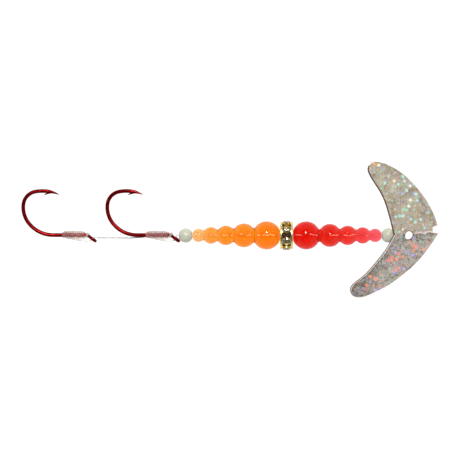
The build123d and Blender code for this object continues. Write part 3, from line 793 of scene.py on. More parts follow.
def make_snell(name, put, node, body, front):
    """The tied line of one hook: wraps, the strands that run along them, the slack loop and the turns at the eye."""
    r = LINE_R
    parts = []
    rng = np.random.default_rng(7)
    x0, x1 = -8.42, -2.20
    turns = 12
    # main wraps, their spacing wavering a little, each turn swelling out on one side except near the ends
    n = turns * 28
    a = np.linspace(0, turns * 2 * np.pi, n)
    fr = np.linspace(0, 1, n)
    x = x0 + (x1 - x0) * fr
    x = x + 0.05 * np.sin(fr * np.pi * 7)
    rad = WIRE_R + r * 1.02
    lump = np.exp(-((np.angle(np.exp(1j * (a - 0.25)))) ** 2) / 0.22) * 0.26 * np.interp(fr, [0, 0.06, 0.94, 1], [0, 1, 1, 0])
    wrap = around(x, a, rad + lump)
    parts.append((*swept(wrap, r, 10), 1))
    # outside strands along the top, lying side by side
    for dz, dy, xa, xb in ((0.06, 0.0, -8.25, -2.75), (-0.30, -0.07, -8.0, -2.45), (0.40, -0.12, -7.7, -3.1)):
        st = nurbs([(xa, SHANK_Y + 0.70 + dy, dz * 0.6), (xa + 0.5, SHANK_Y + 0.98 + dy, dz), (-5.6, SHANK_Y + 1.07 + dy, dz * 1.1),
                    (-4.0, SHANK_Y + 1.08 + dy, dz * 1.1), (xb - 0.45, SHANK_Y + 1.00 + dy, dz), (xb, SHANK_Y + 0.72 + dy, dz * 0.6)], 10)
        parts.append(swept(st, r, 10))
    # two turns round the wire at the base of the eye
    u = np.array((-0.8, 0.6, 0.0))
    w = np.array((0.0, 0.0, 1.0))
    side = np.array((0.6, 0.8, 0.0))
    n3 = 64
    a3 = np.linspace(-0.4, -0.4 + 2.2 * 2 * np.pi, n3)
    cen = np.outer(np.linspace(1.62, 2.15, n3), u)
    coil = cen + (0.47 + r) * (np.outer(np.cos(a3), side) + np.outer(np.sin(a3), w))
    parts.append(swept(coil, r, 10))
    # slack tag loop from the middle wraps down and up to the eye's base
    tag = nurbs([(-7.0, 0.55, 0.30), (-6.1, 0.10, 0.42), (-4.9, -0.12, 0.44), (-3.5, -0.12, 0.40), (-2.3, 0.02, 0.36), (-1.55, 0.42, 0.52)], 12)
    parts.append(swept(tag, r * 0.9, 10))
    tag2 = nurbs([(-7.9, 0.60, -0.25), (-6.8, 0.26, -0.35), (-5.4, 0.10, -0.30), (-3.9, 0.16, -0.24), (-2.7, 0.40, -0.20)], 12)
    parts.append(swept(tag2, r * 0.9, 10))
    parts = [(put(p[0]), *p[1:]) for p in parts]
    # the standing line: a slack loop under the shank, through the eye, and out to where it flexes
    loop = [(-7.60, 0.40, 0), (-5.60, -0.08, 0), (-3.40, -0.46, 0), (-1.60, -0.62, 0), (-0.50, -0.46, 0)]
    if front:
        ends = JOINT["front_hook_swing"]
        ctrl = [*put(np.array(loop)), *put(np.array([(0.05, 0.02, 0.0)])), ends - np.array((0.46, 0.06, 0.06)), ends - np.array((0.2, 0.0, 0.0)), ends]
    else:
        ctrl = [*put(np.array(loop)), *put(np.array([(-0.05, 0.10, 0.0), (0.42, 0.36, 0.0), (1.0, 0.36, 0.0)])), JOINT["rear_hook_swing"]]
    parts.append(swept(nurbs(ctrl, 12, 3), r, 12))
    if front:
        tail = [*put(np.array([(-6.6, 0.64, -0.56), (-7.2, 0.62, -0.62), (-8.3, 0.58, -0.76)])), JOINT["link_line_swing"]]
        parts.append(swept(nurbs(tail, 12, 3), r, 12))
    vs, fs, ms = joined(parts)
    ob = to_object(name, vs, fs, [SNELL_MAT, WRAP_MAT], ms)
    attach(ob, body)
    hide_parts(node)
    return ob


hook_r = make_hook("rear_hook_wire", put_rear, "hook_rear", "rear_hook")
hook_f = make_hook("front_hook_wire", put_front, "hook_front", "front_hook")
snell_r = make_snell("rear_snell", put_rear, "snell_rear", "rear_hook", False)
snell_f = make_snell("front_snell", put_front, "snell_front", "front_hook", True)

# link line between the hooks
a, b = JOINT["link_line_swing"], JOINT["rear_hook_swing"]
ctrl = [a, a + np.array((-1.2, -0.08, -0.04)), a + np.array((-3.8, -0.27, -0.10)), b + np.array((5.2, -0.02, 0.02)), b + np.array((1.2, 0.0, 0.0)), b]
v, f = swept(nurbs(ctrl, 16, 3), LINE_R, 12)
link = to_object("link_line_strand", v, f, [LINK_MAT])
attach(link, "hook_link")
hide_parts("link_line")

# leader
lo, hi = mbox("leader_line")
AX = JOINT["orange_body_spin"][1:]
x_end = hi[0]
ctrl = [JOINT["front_hook_swing"], (JOINT["front_hook_swing"][0] + 4, *AX), (20.0, *AX), (46.0, *AX), (51.0, *AX), (x_end - 4.90, *AX), (x_end - 4.3, AX[0], AX[1] + 0.15),
        (x_end - 3.70, AX[0], AX[1] + 0.30), (x_end - 2.6, AX[0], AX[1] + 0.30), (x_end, AX[0], AX[1] + 0.30)]
v, f = swept(nurbs(ctrl, 16, 3), LINE_R, 14, (True, False))
leader = to_object("leader_strand", v, f, [LEADER_MAT])
sharp(leader, 50)
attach(leader, "leader")
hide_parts("leader_line")


# ---------------------------------------------------------------- beads
def glow_bead(name, node, body):
    lo, hi = mbox(node)
    c = (lo + hi) / 2
    half = (hi[0] - lo[0]) / 2
    R = (hi[1] - lo[1]) / 2
    bore = 0.50
    m = 26
    yr = math.sqrt(max(R * R - half * half, 0)) + 0.02
    a1 = math.asin(min(1, half / R))
    outer = [(R * math.sin(a), R * math.cos(a)) for a in np.linspace(-a1, a1, m)]
    lip = 0.10
    prof = [(-half + lip, bore), (-half + 0.02, bore + 0.06), (-half, bore + 0.13)] + outer[1:-1] + [(half, bore + 0.13), (half - 0.02, bore + 0.06), (half - lip, bore)]
    prof = np.array([(c[0] + x, r) for x, r in prof])
    n_out = len(prof)
    inner = np.array([(c[0] + x, bore) for x in np.linspace(half - lip, -half + lip, 7)[1:-1]])
    prof = np.concatenate([prof, inner])
    v, f = lathe(prof, c[1], c[2], 64)
    ob = to_object(name, v, f, [GLOW])
    sharp(ob, 40)
    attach(ob, body)
    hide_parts(node)
    return ob


GLOW = glow_plastic()
glow_bead("rear_glow_bead_turned", "glow_bead_rear", "rear_glow_bead")
glow_bead("front_glow_bead_turned", "glow_bead_front", "front_glow_bead")

ORANGE = ((-8.51, 1.88), (-5.07, 2.35), (-0.87, 2.76), (4.17, 3.37), (10.54, 3.98))
ORANGE_ENDS = (-10.17, 14.26)
RED = ((21.62, 3.96), (28.25, 3.25), (33.24, 2.74), (37.41, 2.32), (40.91, 1.90))
RED_ENDS = (17.95, 42.65)
NOTCH_R = 0.40
BORE_R = 0.55


def lobed(name, node, body, lobes, ends, mats):
    lo, hi = mbox(node)
    dx = lo[0] - ends[0]
    cy, cz = (lo[1] + hi[1]) / 2, (lo[2] + hi[2]) / 2
    out = []

    def arc(c, r, a, b, m):
        for t in np.linspace(a, b, m):
            out.append((c[0] + r * math.cos(t), c[1] + r * math.sin(t)))

    cur = math.acos(max(-1, (ends[0] - lobes[0][0]) / lobes[0][1]))
    for i, (c, r) in enumerate(lobes):
        if i + 1 < len(lobes):
            c2, r2 = lobes[i + 1]
            d = c2 - c
            p, q = r + NOTCH_R, r2 + NOTCH_R
            fx = (d * d + p * p - q * q) / (2 * d)
            fy = math.sqrt(p * p - fx * fx)
            t1 = math.atan2(fy, fx)
            arc((c, 0), r, cur, t1, 22)
            va = math.atan2(-fy, -fx)
            vb = math.atan2(-fy, d - fx)
            arc((c + fx, fy), NOTCH_R, va, vb, 7)
            cur = math.atan2(fy, fx - d)
        else:
            arc((c, 0), r, cur, math.acos(min(1, (ends[1] - c) / r)), 26)
    pts = [out[0]]
    for p in out[1:]:
        if math.hypot(p[0] - pts[-1][0], p[1] - pts[-1][1]) > 1e-3:
            pts.append(p)
    # mouths of the bore are eased and the moulded ends are softly rounded
    e0, e1 = pts[0], pts[-1]
    head = [(ends[0] + 0.16, BORE_R), (ends[0] + 0.05, BORE_R + 0.05), (ends[0], BORE_R + 0.16), (ends[0], e0[1] - 0.16), (ends[0] + 0.02, e0[1] - 0.04)]
    tail = [(ends[1] - 0.02, e1[1] - 0.04), (ends[1], e1[1] - 0.16), (ends[1], BORE_R + 0.16), (ends[1] - 0.05, BORE_R + 0.05), (ends[1] - 0.16, BORE_R)]
    outer = head + pts[1:-1] + tail
    inner = [(x, BORE_R) for x in np.linspace(ends[1] - 0.16, ends[0] + 0.16, 30)[1:-1]]
    prof = np.array([(x + dx, r) for x, r in outer + inner])
    around_n = 96
    v, f = lathe(prof, cy, cz, around_n)
    n_out = len(outer)
    fm = []
    for i in range(len(prof)):
        fm += [0 if i < n_out - 1 else 1] * around_n
    ob = to_object(name, v, f, mats, fm)
    sharp(ob, 60)
    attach(ob, body)
    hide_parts(node)
    return ob


lobed("orange_tapered_body", "tapered_body_orange", "orange_body", ORANGE, ORANGE_ENDS,
      [orange_clear(mbox("tapered_body_orange")), bore_wall("orange_bore_wall", rgb(255, 240, 224))])
lobed("red_tapered_body", "tapered_body_red", "red_body", RED, RED_ENDS,
      [red_clear(mbox("tapered_body_red")), bore_wall("red_bore_wall", rgb(255, 226, 222))])


# ---------------------------------------------------------------- spacer ring
# the low gold is a darker copy of the plate, partly tarnish and partly painted shade; nothing below uses it
GOLD, GOLD_LOW_TARNISH_AND_SHADE, RECESS, FOIL, CRYSTAL = gold("light_gold_plate"), gold("light_gold_low", dark=0.25), recess(), foil(), crystal()
lo_r, hi_r = mbox("ring_plate_rear")
lo_f, hi_f = mbox("ring_plate_front")
CY, CZ = (lo_r[1] + hi_r[1]) / 2, (lo_r[2] + hi_r[2]) / 2
PLATE_R = (hi_r[1] - lo_r[1]) / 2
XM = (lo_r[0] + hi_f[0]) / 2
STONES = 7
STONE_TURN = 26.0


def flange(name, node, x_out, x_in):
    """Pressed flange: rolled rim, dished outer face, and an inner lip scalloped over each stone."""
    s = 1 if x_in > x_out else -1
    R = PLATE_R
    prof = [(0.22, 0.60), (0.22, 3.02), (0.0, 3.16), (0.0, R - 0.02), (0.62, R - 0.02), (0.80, R - 0.24), (0.80, 0.60)]
    rad = [0.05, 0.12, 0.10, 0.22, 0.18, 0.08, 0.05]
    p = fillet_profile([(x_out + s * x, r) for x, r in prof], rad, 5)
    v, f = lathe(p, CY, CZ, 144)
    # scallops: the inner lip dips between the stones
    ang = np.arctan2(v[:, 1] - CY, v[:, 2] - CZ)
    rr = np.hypot(v[:, 1] - CY, v[:, 2] - CZ)
    depth = (v[:, 0] - x_out) * s
    wave = np.cos(STONES * (ang - math.radians(STONE_TURN)))
    m = np.clip((depth - 0.45) / 0.30, 0, 1) * np.clip((rr - 3.3) / 0.2, 0, 1)
    cut = m * np.clip(-wave, 0, 1) ** 0.7 * 0.20
    v[:, 0] -= s * cut * 0.9
    k = (rr - cut * 0.5) / rr
    v[:, 1] = CY + (v[:, 1] - CY) * k
    v[:, 2] = CZ + (v[:, 2] - CZ) * k
    ob = to_object(name, v, f, [GOLD])
    sharp(ob, 50)
    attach(ob, "spacer_ring")
    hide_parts(node)
    return ob


flange("ring_flange_rear", "ring_plate_rear", lo_r[0], hi_r[0])
flange("ring_flange_front", "ring_plate_front", hi_f[0], lo_f[0])


def stone_axes(i):
    a = math.radians(STONE_TURN + 360 / STONES * i)
    out = np.array((0.0, math.sin(a), math.cos(a)))
    xd = np.array((1.0, 0.0, 0.0))
    return xd, np.cross(out, xd), out


def on_stone(i, pts):
    """Points given as (x, y, height from the ring's axis) round stone i."""
    xd, yd, out = stone_axes(i)
    q = np.asarray(pts, float)
    return np.array((XM, CY, CZ)) + q[:, :1] * xd + q[:, 1:2] * yd + q[:, 2:3] * out


def brilliant():
    """A round-cut stone: table, stars, kites, girdle facets, girdle and pavilion."""
    G, TB = 0.96, 0.56
    zg0, zg1, zt, zc = 3.68, 3.76, 4.085, 2.84
    v = []
    for k in range(8):
        a = math.radians(45 * k)
        v.append((TB * math.cos(a), TB * math.sin(a), zt))                # 0..7 table
    for k in range(8):
        a = math.radians(45 * k + 22.5)
        v.append((0.76 * math.cos(a), 0.76 * math.sin(a), 3.955))        # 8..15 between star and kite
    for k in range(16):
        a = math.radians(22.5 * k)
        v.append((G * math.cos(a), G * math.sin(a), zg1))                # 16..31 girdle top
    for k in range(16):
        a = math.radians(22.5 * k)
        v.append((G * math.cos(a), G * math.sin(a), zg0))                # 32..47 girdle low
    for k in range(8):
        a = math.radians(45 * k + 22.5)
        v.append((0.42 * math.cos(a), 0.42 * math.sin(a), 3.20))         # 48..55 pavilion break
    v.append((0, 0, zc))                                                  # 56 culet
    f = [tuple(range(8))]
    for k in range(8):
        k2 = (k + 1) % 8
        f.append((k, 8 + k, k2))                                          # star
        g = 16 + 2 * k
        gp, gn = 16 + (2 * k - 1) % 16, 16 + (2 * k + 1) % 16
        f.append((k, 8 + (k - 1) % 8, g, 8 + k))                          # kite
        f.append((8 + k, g, gn))
        f.append((8 + (k - 1) % 8, gp, g))
    for k in range(16):
        k2 = (k + 1) % 16
        f.append((16 + k, 32 + k, 32 + k2, 16 + k2))
    for k in range(8):
        a0, a1, a2 = 32 + 2 * k, 32 + (2 * k + 1) % 16, 32 + (2 * k + 2) % 16
        b0, b1 = 48 + k, 48 + (k + 1) % 8
        f.append((a0, b0, a1))
        f.append((a1, b0, a2))
        f.append((a2, b0, 56, b1))
    return np.array(v), f


def stones():
    v0, f0 = brilliant()
    parts = [(on_stone(i, v0), f0) for i in range(STONES)]
    vs, fs, ms = joined(parts)
    ob = to_object("ring_stones", vs, fs, [CRYSTAL], smooth=False)
    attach(ob, "spacer_ring")
    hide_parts("ring_crystals")
    return ob


stones()


def setting():
    """The band between the flanges: a foil-lined cup and raised bezel for each stone, prongs at its corners, dark
    grooves between in tarnish with painted shade.
    """
    xa, xb = hi_r[0], lo_f[0]
    half = (xb - xa) / 2
    parts = []
    # core band, grooved between the stones, in the dark tarnish with painted shade
    p = fillet_profile([(xa, 0.60), (xa, 2.74), (xb, 2.74), (xb, 0.60)], [0.05, 0.0, 0.0, 0.05], 3)
    v, f = lathe(p, CY, CZ, 96)
    parts.append((v, f, 1))
    n = 40
    a = np.linspace(0, 2 * np.pi, n, endpoint=False)
    for i in range(STONES):
        # cup: outer wall up to the bezel, rolled lip, and the foil-lined inside
        prof = [(0.99, 2.60), (1.06, 3.30), (1.10, 3.66), (1.075, 3.80), (1.02, 3.84), (0.975, 3.80), (0.975, 3.66), (0.46, 3.17), (0.06, 2.80)]
        ring = [[(r * math.cos(q), r * math.sin(q), h) for q in a] for r, h in prof]
        v = np.array(ring).reshape(-1, 3)
        v[:, 0] = np.clip(v[:, 0], -half + 0.01, half - 0.01)
        f, mi = [], []
        for j in range(len(prof) - 1):
            for k in range(n):
                k2 = (k + 1) % n
                f.append((j * n + k, j * n + k2, (j + 1) * n + k2, (j + 1) * n + k))
                mi.append(2 if j >= 6 else 0)
        f.append(tuple((len(prof) - 1) * n + k for k in range(n)))
        mi.append(2)
        # the cup's floor, in the dark tarnish with painted shade
        f.append(tuple(range(n))[::-1])
        mi.append(1)
        parts.append((on_stone(i, v), outward(v, f), mi))
        # four claws folded over the girdle
        for sx in (-1, 1):
            for sy in (-1, 1):
                d = np.array((sx * 0.76, sy * 0.65))
                d = d / np.linalg.norm(d)
                q = [(*(d * 1.10), 3.36), (*(d * 1.12), 3.72), (*(d * 1.06), 3.93), (*(d * 0.90), 3.96)]
                q = [(min(max(x, -half + 0.1), half - 0.1), y, h) for x, y, h in q]
                path = nurbs(on_stone(i, np.array(q)), 6, 3)
                pv, pf = swept(path, np.linspace(0.16, 0.12, len(path)), 8)
                parts.append((pv, pf, 0))
    vs, fs, ms = joined(parts)
    ob = to_object("ring_band_and_cups", vs, fs, [GOLD, RECESS, FOIL], ms)
    sharp(ob, 40)
    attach(ob, "spacer_ring")
    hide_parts("ring_setting")
    return ob


setting()

# ---------------------------------------------------------------- blade
BLADE_T = 0.30
HOLE_R = 1.18
FOLD_YAW, FOLD_PITCH = 3.0, 24.0
WING_UP, WING_DOWN = 4.0, 22.0
FOLD_R = 1.2
FOLD_SIDE, FOLD_LIFT = 0.31, 0.20
WING_A = ((-4.50, 0.00), (-5.70, 4.85), (-6.84, 8.72), (-8.15, 11.72), (-10.28, 15.04),
          (-11.79, 17.66), (-12.08, 18.83), (-11.79, 19.73), (-10.98, 20.56), (-9.98, 20.92),
          (-8.54, 20.81), (-5.83, 19.90), (-3.08, 18.45), (-0.41, 16.48), (2.23, 13.93),
          (4.79, 10.84), (6.83, 7.79), (8.25, 4.87), (9.15, 2.06))
WING_B = ((-4.50, 0.00), (-6.35, 3.90), (-9.16, 7.92), (-11.57, 10.86), (-13.89, 12.88),
          (-15.66, 14.36), (-16.10, 15.36), (-15.99, 16.47), (-15.44, 17.42), (-14.53, 18.03),
          (-13.07, 18.33), (-11.19, 18.06), (-7.47, 16.62), (-4.23, 15.03), (-1.14, 12.83),
          (2.21, 10.08), (4.65, 7.43), (6.97, 4.18), (9.35, 0.16))
NOTCH = ((7.65, 1.60), (7.60, 0.28))
yaw, pitch = math.radians(FOLD_YAW), math.radians(FOLD_PITCH)
mean, half = math.radians((WING_UP + WING_DOWN) / 2), math.radians((WING_DOWN - WING_UP) / 2)
f_ = np.array((math.cos(pitch) * math.cos(yaw), math.cos(pitch) * math.sin(yaw), -math.sin(pitch)))
n_ = np.array((-math.sin(yaw), math.cos(yaw), 0.0))
w_ = np.cross(f_, n_)
v_ = n_ * math.cos(mean) + w_ * math.sin(mean)
m_ = w_ * math.cos(mean) - n_ * math.sin(mean)
HUB = JOINT["blade_spin"]
FOLD_O = HUB + np.array((0.0, FOLD_SIDE, FOLD_LIFT))


def spline_run(points, step):
    """A cubic through the points (natural in arc length), sampled at step."""
    P = np.array(points, float)
    s = np.concatenate([[0], np.cumsum(np.linalg.norm(np.diff(P, axis=0), axis=1))])
    n = len(P)
    h = np.diff(s)
    out = []
    q = np.linspace(0, s[-1], max(2, int(round(s[-1] / step)) + 1))
    for c in range(2):
        y = P[:, c]
        A = np.zeros((n, n))
        r = np.zeros(n)
        A[0, 0] = A[-1, -1] = 1
        for i in range(1, n - 1):
            A[i, i - 1], A[i, i], A[i, i + 1] = h[i - 1], 2 * (h[i - 1] + h[i]), h[i]
            r[i] = 6 * ((y[i + 1] - y[i]) / h[i] - (y[i] - y[i - 1]) / h[i - 1])
        M = np.linalg.solve(A, r)
        k = np.clip(np.searchsorted(s, q) - 1, 0, n - 2)
        t0, t1 = q - s[k], s[k + 1] - q
        out.append((M[k] * t1 ** 3 + M[k + 1] * t0 ** 3) / (6 * h[k]) + (y[k] / h[k] - M[k] * h[k] / 6) * t1 + (y[k + 1] / h[k] - M[k + 1] * h[k] / 6) * t0)
    return np.stack(out, 1)


def inset(loop, d):
    """The closed loop moved inwards by d (loop runs anticlockwise or clockwise alike)."""
    P = np.asarray(loop)
    area = 0.5 * np.sum(P[:, 0] * np.roll(P[:, 1], -1) - np.roll(P[:, 0], -1) * P[:, 1])
    sgn = 1 if area > 0 else -1
    e0 = P - np.roll(P, 1, 0)
    e1 = np.roll(P, -1, 0) - P
    e0 /= np.linalg.norm(e0, axis=1)[:, None]
    e1 /= np.linalg.norm(e1, axis=1)[:, None]
    n0 = np.stack([-e0[:, 1], e0[:, 0]], 1) * sgn
    n1 = np.stack([-e1[:, 1], e1[:, 0]], 1) * sgn
    b = n0 + n1
    L = np.linalg.norm(b, axis=1)
    b /= L[:, None]
    k = 1 / np.clip((b * n0).sum(1), 0.5, 1)
    return P + b * (d * k)[:, None]


def inside(poly, q):
    """True where the points q lie inside the closed loop."""
    x, y = q[:, 0], q[:, 1]
    a, b = poly, np.roll(poly, -1, 0)
    r = np.zeros(len(q), bool)
    for (x0, y0), (x1, y1) in zip(a, b):
        c = ((y0 > y) != (y1 > y)) & (x < (x1 - x0) * (y - y0) / (y1 - y0 + 1e-15) + x0)
        r ^= c
    return r


def fold_height(b):
    """Height of the sheet's middle over the blade plane, with the fold rounded, and its slope."""
    tr = (FOLD_R + BLADE_T / 2) * math.tan(half / 2) + (FOLD_R + BLADE_T / 2) * math.sin(half) * 0.0
    R = FOLD_R + BLADE_T / 2
    x1 = R * math.sin(half)
    ab = np.abs(b)
    corner = 0.0
    # the arc is tangent to both wings, whose planes meet at height 0
    zc = -x1 * math.tan(half) - math.sqrt(R * R - x1 * x1)
    h = np.where(ab < x1, zc + np.sqrt(np.maximum(R * R - b * b, 0)), -ab * math.tan(half))
    s = np.where(ab < x1, -b / np.sqrt(np.maximum(R * R - b * b, 1e-9)), -np.sign(b) * math.tan(half))
    return h, s


def waviness(a, b):
    """The thin sheet is never quite flat: a few hundredths of a millimetre."""
    g = 0.030 * np.sin(0.55 * a + 0.9) * np.sin(0.47 * b + 0.4) + 0.016 * np.sin(1.3 * a - 0.7 * b + 2.0)
    return g * np.clip(np.abs(b) / 3.0, 0, 1)


def make_blade():
    c = math.cos(half)
    pa = [(t, s * c) for t, s in WING_A]
    pb = [(t, -s * c) for t, s in WING_B]
    n0, n1 = ((t, s * c) for t, s in NOTCH)
    ra = spline_run(pa, 0.42)
    rb = spline_run(pb, 0.42)

    def straight(p, q, step=0.3):
        m = max(1, int(round(math.dist(p, q) / step)))
        return np.array([np.array(p) + (np.array(q) - np.array(p)) * i / m for i in range(1, m + 1)])

    loop = np.concatenate([ra, straight(pa[-1], n0), straight(n0, n1), straight(n1, pb[-1]), rb[::-1][1:-1]])
    loop[:, 1] *= 0.9997
    N = len(loop)
    tipA = int(np.argmin(np.linalg.norm(loop - np.array(pa[6]), axis=1)))
    tipB = int(np.argmin(np.linalg.norm(loop - np.array(pb[6]), axis=1)))
    concave = np.zeros(N, bool)
    concave[:tipA + 3] = True
    concave[tipB - 2:] = True
    # hole, where the line's axis pierces the wing
    along = np.array((1.0, 0.0, 0.0))
    d = HUB - FOLD_O
    slope = math.tan(half)
    run = -((d @ m_) - slope * (d @ v_)) / ((along @ m_) - slope * (along @ v_))
    hp = d + along * run
    hc = np.array((hp @ f_, hp @ v_))
    H = 56
    ang = np.linspace(0, 2 * np.pi, H, endpoint=False)
    holes = [hc + (HOLE_R + k) * np.stack([np.cos(ang), np.sin(ang)], 1) for k in (0.0, 0.05, 0.17, 0.36)]
    loops = [loop, inset(loop, 0.05), inset(loop, 0.15), inset(loop, 0.36)]
    # inner points
    g = 0.62
    lo2, hi2 = loop.min(0), loop.max(0)
    gx, gy = np.meshgrid(np.arange(lo2[0], hi2[0], g), np.arange(lo2[1], hi2[1], g * 0.866))
    gx = gx + (np.arange(gx.shape[0]) % 2)[:, None] * g / 2
    grid = np.stack([gx.ravel(), gy.ravel()], 1)
    core = inset(loop, 0.62)
    ok = inside(core, grid) & (np.linalg.norm(grid - hc, axis=1) > HOLE_R + 0.75)
    # keep away from the outline's own points
    dist = np.min(np.linalg.norm(grid[:, None] - loops[3][None], axis=2), axis=1)
    grid = grid[ok & (dist > 0.30)]
    pts, edges, tag = [], [], []

    def add(P, kind):
        base = len(pts)
        pts.extend([Vector(p) for p in P])
        m = len(P)
        edges.extend([(base + i, base + (i + 1) % m) for i in range(m)])
        return base

    for P in loops:
        add(P, 0)
    for P in holes:
        add(P, 1)
    # the inner points, with no edges of their own
    for p in grid:
        pts.append(Vector(p))
    vco, ved, vfa, ov, oe, of_ = delaunay_2d_cdt(pts, edges, [], 0, 1e-7)
    V = np.array([tuple(q) for q in vco])
    tri = [tuple(t) for t in vfa]
    cen = np.array([V[list(t)].mean(0) for t in tri])
    dh = np.linalg.norm(cen - hc, axis=1)
    keep = inside(loop, cen) & (dh > HOLE_R * math.cos(math.pi / H) - 0.002)
    tri = [t for t, kx in zip(tri, keep) if kx]
    cen = cen[keep]
    # which band of the border a triangle is in
    seg_a, seg_b = loop, np.roll(loop, -1, 0)

    def dist_to(q):
        ab = seg_b - seg_a
        L2 = (ab ** 2).sum(1)
        t = np.clip(((q[:, None] - seg_a[None]) * ab[None]).sum(2) / L2[None], 0, 1)
        pr = seg_a[None] + t[..., None] * ab[None]
        D = np.linalg.norm(q[:, None] - pr, axis=2)
        return D.min(1), D.argmin(1)

    D, which = dist_to(cen)
    dh = np.linalg.norm(cen - hc, axis=1) - HOLE_R
    band = np.zeros(len(tri), int)
    conc = concave[which]
    band[(D < 0.15) & conc] = 1                     # dark line on the inner side
    far = cen[:, 1] > 0
    band[(D >= 0.15) & (D < 0.36) & conc & far] = 1
    # painted highlight: the bright hairline inside the dark line on the lower wing, and along the outer edges
    band[(D >= 0.15) & (D < 0.36) & conc & ~far] = 2       # bright hairline inside it, on the lower wing
    band[(D < 0.15) & ~conc] = 2
    band[(dh < 0.17)] = 1
    # heights: rounded edges top and bottom, a slightly rolled lip round the hole
    Dv, _ = dist_to(V)
    on_edge = Dv < 1e-4
    dv = np.linalg.norm(V - hc, axis=1) - HOLE_R
    on_hole = np.abs(dv) < 1e-4
    e = np.minimum(Dv, np.maximum(dv, 0))
    thick = np.where(e < 0.05 + 1e-3, 0.10, np.where(e < 0.16, 0.145, 0.15))
    thick = np.where(on_edge | on_hole, 0.085, thick)
    h, s = fold_height(V[:, 1])
    wv = waviness(V[:, 0], V[:, 1]) * np.clip(e / 1.5, 0, 1)
    lip = 0.05 * np.exp(-((dv - 0.17) / 0.16) ** 2)
    nn = 1 / np.sqrt(1 + s * s)

    def lift(z):
        b = V[:, 1] - s * nn * z
        hh = h + nn * z
        return FOLD_O + V[:, :1] * f_ + b[:, None] * v_ + hh[:, None] * m_

    top = lift(thick + wv + lip)
    low = lift(-thick + wv)
    nV = len(V)
    verts = np.concatenate([top, low])
    faces = [t for t in tri]
    mi = [int(b) for b in band]
    faces += [tuple(i + nV for i in t[::-1]) for t in tri]
    mi += [3 if b == 0 else int(b) for b in band]
    # side walls along the outline and the hole
    count = {}
    for t in tri:
        for i in range(3):
            q = (t[i], t[(i + 1) % 3])
            count[q] = count.get(q, 0) + 1
    for (i, j) in list(count):
        if (j, i) not in count:
            faces.append((j, i, i + nV, j + nV))
            mi.append(1)
    faces = outward(verts, faces)
    ob = to_object("sparkle_blade", verts, faces, [FILM, EDGE_D, EDGE_L, FILM_BACK], mi)
    used = np.zeros(len(ob.data.vertices), bool)
    for p in ob.data.polygons:
        for i in p.vertices:
            used[i] = True
    if not used.all():
        bm = bmesh.new()
        bm.from_mesh(ob.data)
        bmesh.ops.delete(bm, geom=[q for q in bm.verts if not q.link_faces], context="VERTS")
        bm.to_mesh(ob.data)
        bm.free()
    sharp(ob, 42)
    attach(ob, "spinner_blade")
    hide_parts("blade")
    return ob


fold_flat = f_[:2] / np.linalg.norm(f_[:2])
FILM = sparkle_film(FOLD_O[:2], fold_flat, "sparkle_film")
FILM_BACK = sparkle_film(FOLD_O[:2], fold_flat, "sparkle_film_back", back=True)
EDGE_D, EDGE_L = edge_dark(), edge_light()
blade = make_blade()


# ================================================================ floor, light, camera
def floor():
    me = bpy.data.meshes.new("floor")
    s = 3.0
    n = 24
    bm = bmesh.new()
    bmesh.ops.create_grid(bm, x_segments=n, y_segments=n, size=s)
    bm.to_mesh(me)
    bm.free()
    ob = bpy.data.objects.new("floor", me)
    # the sheet lies just below the reach of the turning blade, so that it never cuts the wings
    (_, y0, z0), (_, y1, z1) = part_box("blade")
    ay, az = JOINT["blade_spin"][1] * MM, JOINT["blade_spin"][2] * MM
    reach = max(math.hypot(y - ay, z - az) for y in (y0, y1) for z in (z0, z1))
    ob.location = (0, 0, az - reach - 0.0005)
    scene.collection.objects.link(ob)
    k = Nodes("pale_floor")
    nse = k.noise(k.rot(k.pos(), scale=(0.01, 0.01, 0.01)), 1.0, 2, 0.5)
    # an evenly lit white sheet, so that shadows on it stay faint
    k.set(base=k.ramp(nse, [(0.3, (0.045, 0.045, 0.045, 1)), (0.7, (0.05, 0.05, 0.05, 1))]), roughness=0.9, specular=0.0,
          emission=(1, 1, 1, 1), emission_strength=1.08)
    me.materials.append(k.mat)
    ob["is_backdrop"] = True
    return ob


floor()


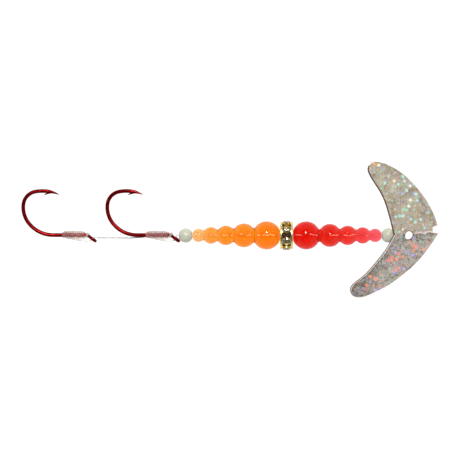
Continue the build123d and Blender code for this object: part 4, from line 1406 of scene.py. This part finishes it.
def area(name, loc, target, size, power, shape="SQUARE", size_y=None, colour=(1, 1, 1), spread=180):
    L = bpy.data.lights.new(name, "AREA")
    L.shape = shape
    L.size = size
    if size_y:
        L.size_y = size_y
    L.energy = power
    L.color = colour
    L.spread = math.radians(spread)
    ob = bpy.data.objects.new(name, L)
    ob.location = loc
    ob.rotation_euler = (Vector(target) - Vector(loc)).to_track_quat("-Z", "Y").to_euler()
    ob.visible_camera = False
    scene.collection.objects.link(ob)
    return ob


C = (CAD_LO + CAD_HI) / 2
target = (C.x, C.y, 0.003)
area("key_high", (0.0, 0.42, 0.95), target, 0.23, 11.0, "DISK")
area("soft_side", (0.75, -0.75, 0.65), target, 0.9, 0.7)

# a soft tent: bright low all round, dimmer overhead
world = bpy.data.worlds.new("studio")
scene.world = world
world.use_nodes = True
wn = world.node_tree
bg = wn.nodes["Background"]
bg.inputs[0].default_value = (1, 1, 1, 1)
tc = wn.nodes.new("ShaderNodeTexCoord")
sep = wn.nodes.new("ShaderNodeSeparateXYZ")
wn.links.new(tc.outputs["Generated"], sep.inputs[0])
mr = wn.nodes.new("ShaderNodeMapRange")
mr.interpolation_type = "SMOOTHSTEP"
mr.inputs["From Min"].default_value = 0.38
mr.inputs["From Max"].default_value = 0.70
mr.inputs["To Min"].default_value = 0.8
mr.inputs["To Max"].default_value = 0.07
wn.links.new(sep.outputs[2], mr.inputs["Value"])
wn.links.new(mr.outputs[0], bg.inputs[1])

cam_data = bpy.data.cameras.new("camera")
cam = bpy.data.objects.new("camera", cam_data)
scene.collection.objects.link(cam)
DIST = 4.0
FIELD = 0.1288
cam_data.sensor_width = 36.0
cam_data.lens = 36.0 * DIST / FIELD
cam_data.clip_start, cam_data.clip_end = 0.01, 50
cam.location = (C.x + 0.000001, C.y - 0.000146, JOINT["orange_body_spin"][2] * MM + DIST)
cam.rotation_euler = (0, 0, 0)
scene.camera = cam
scene.view_settings.view_transform = "Standard"
scene.view_settings.look = "None"

lo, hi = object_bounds()
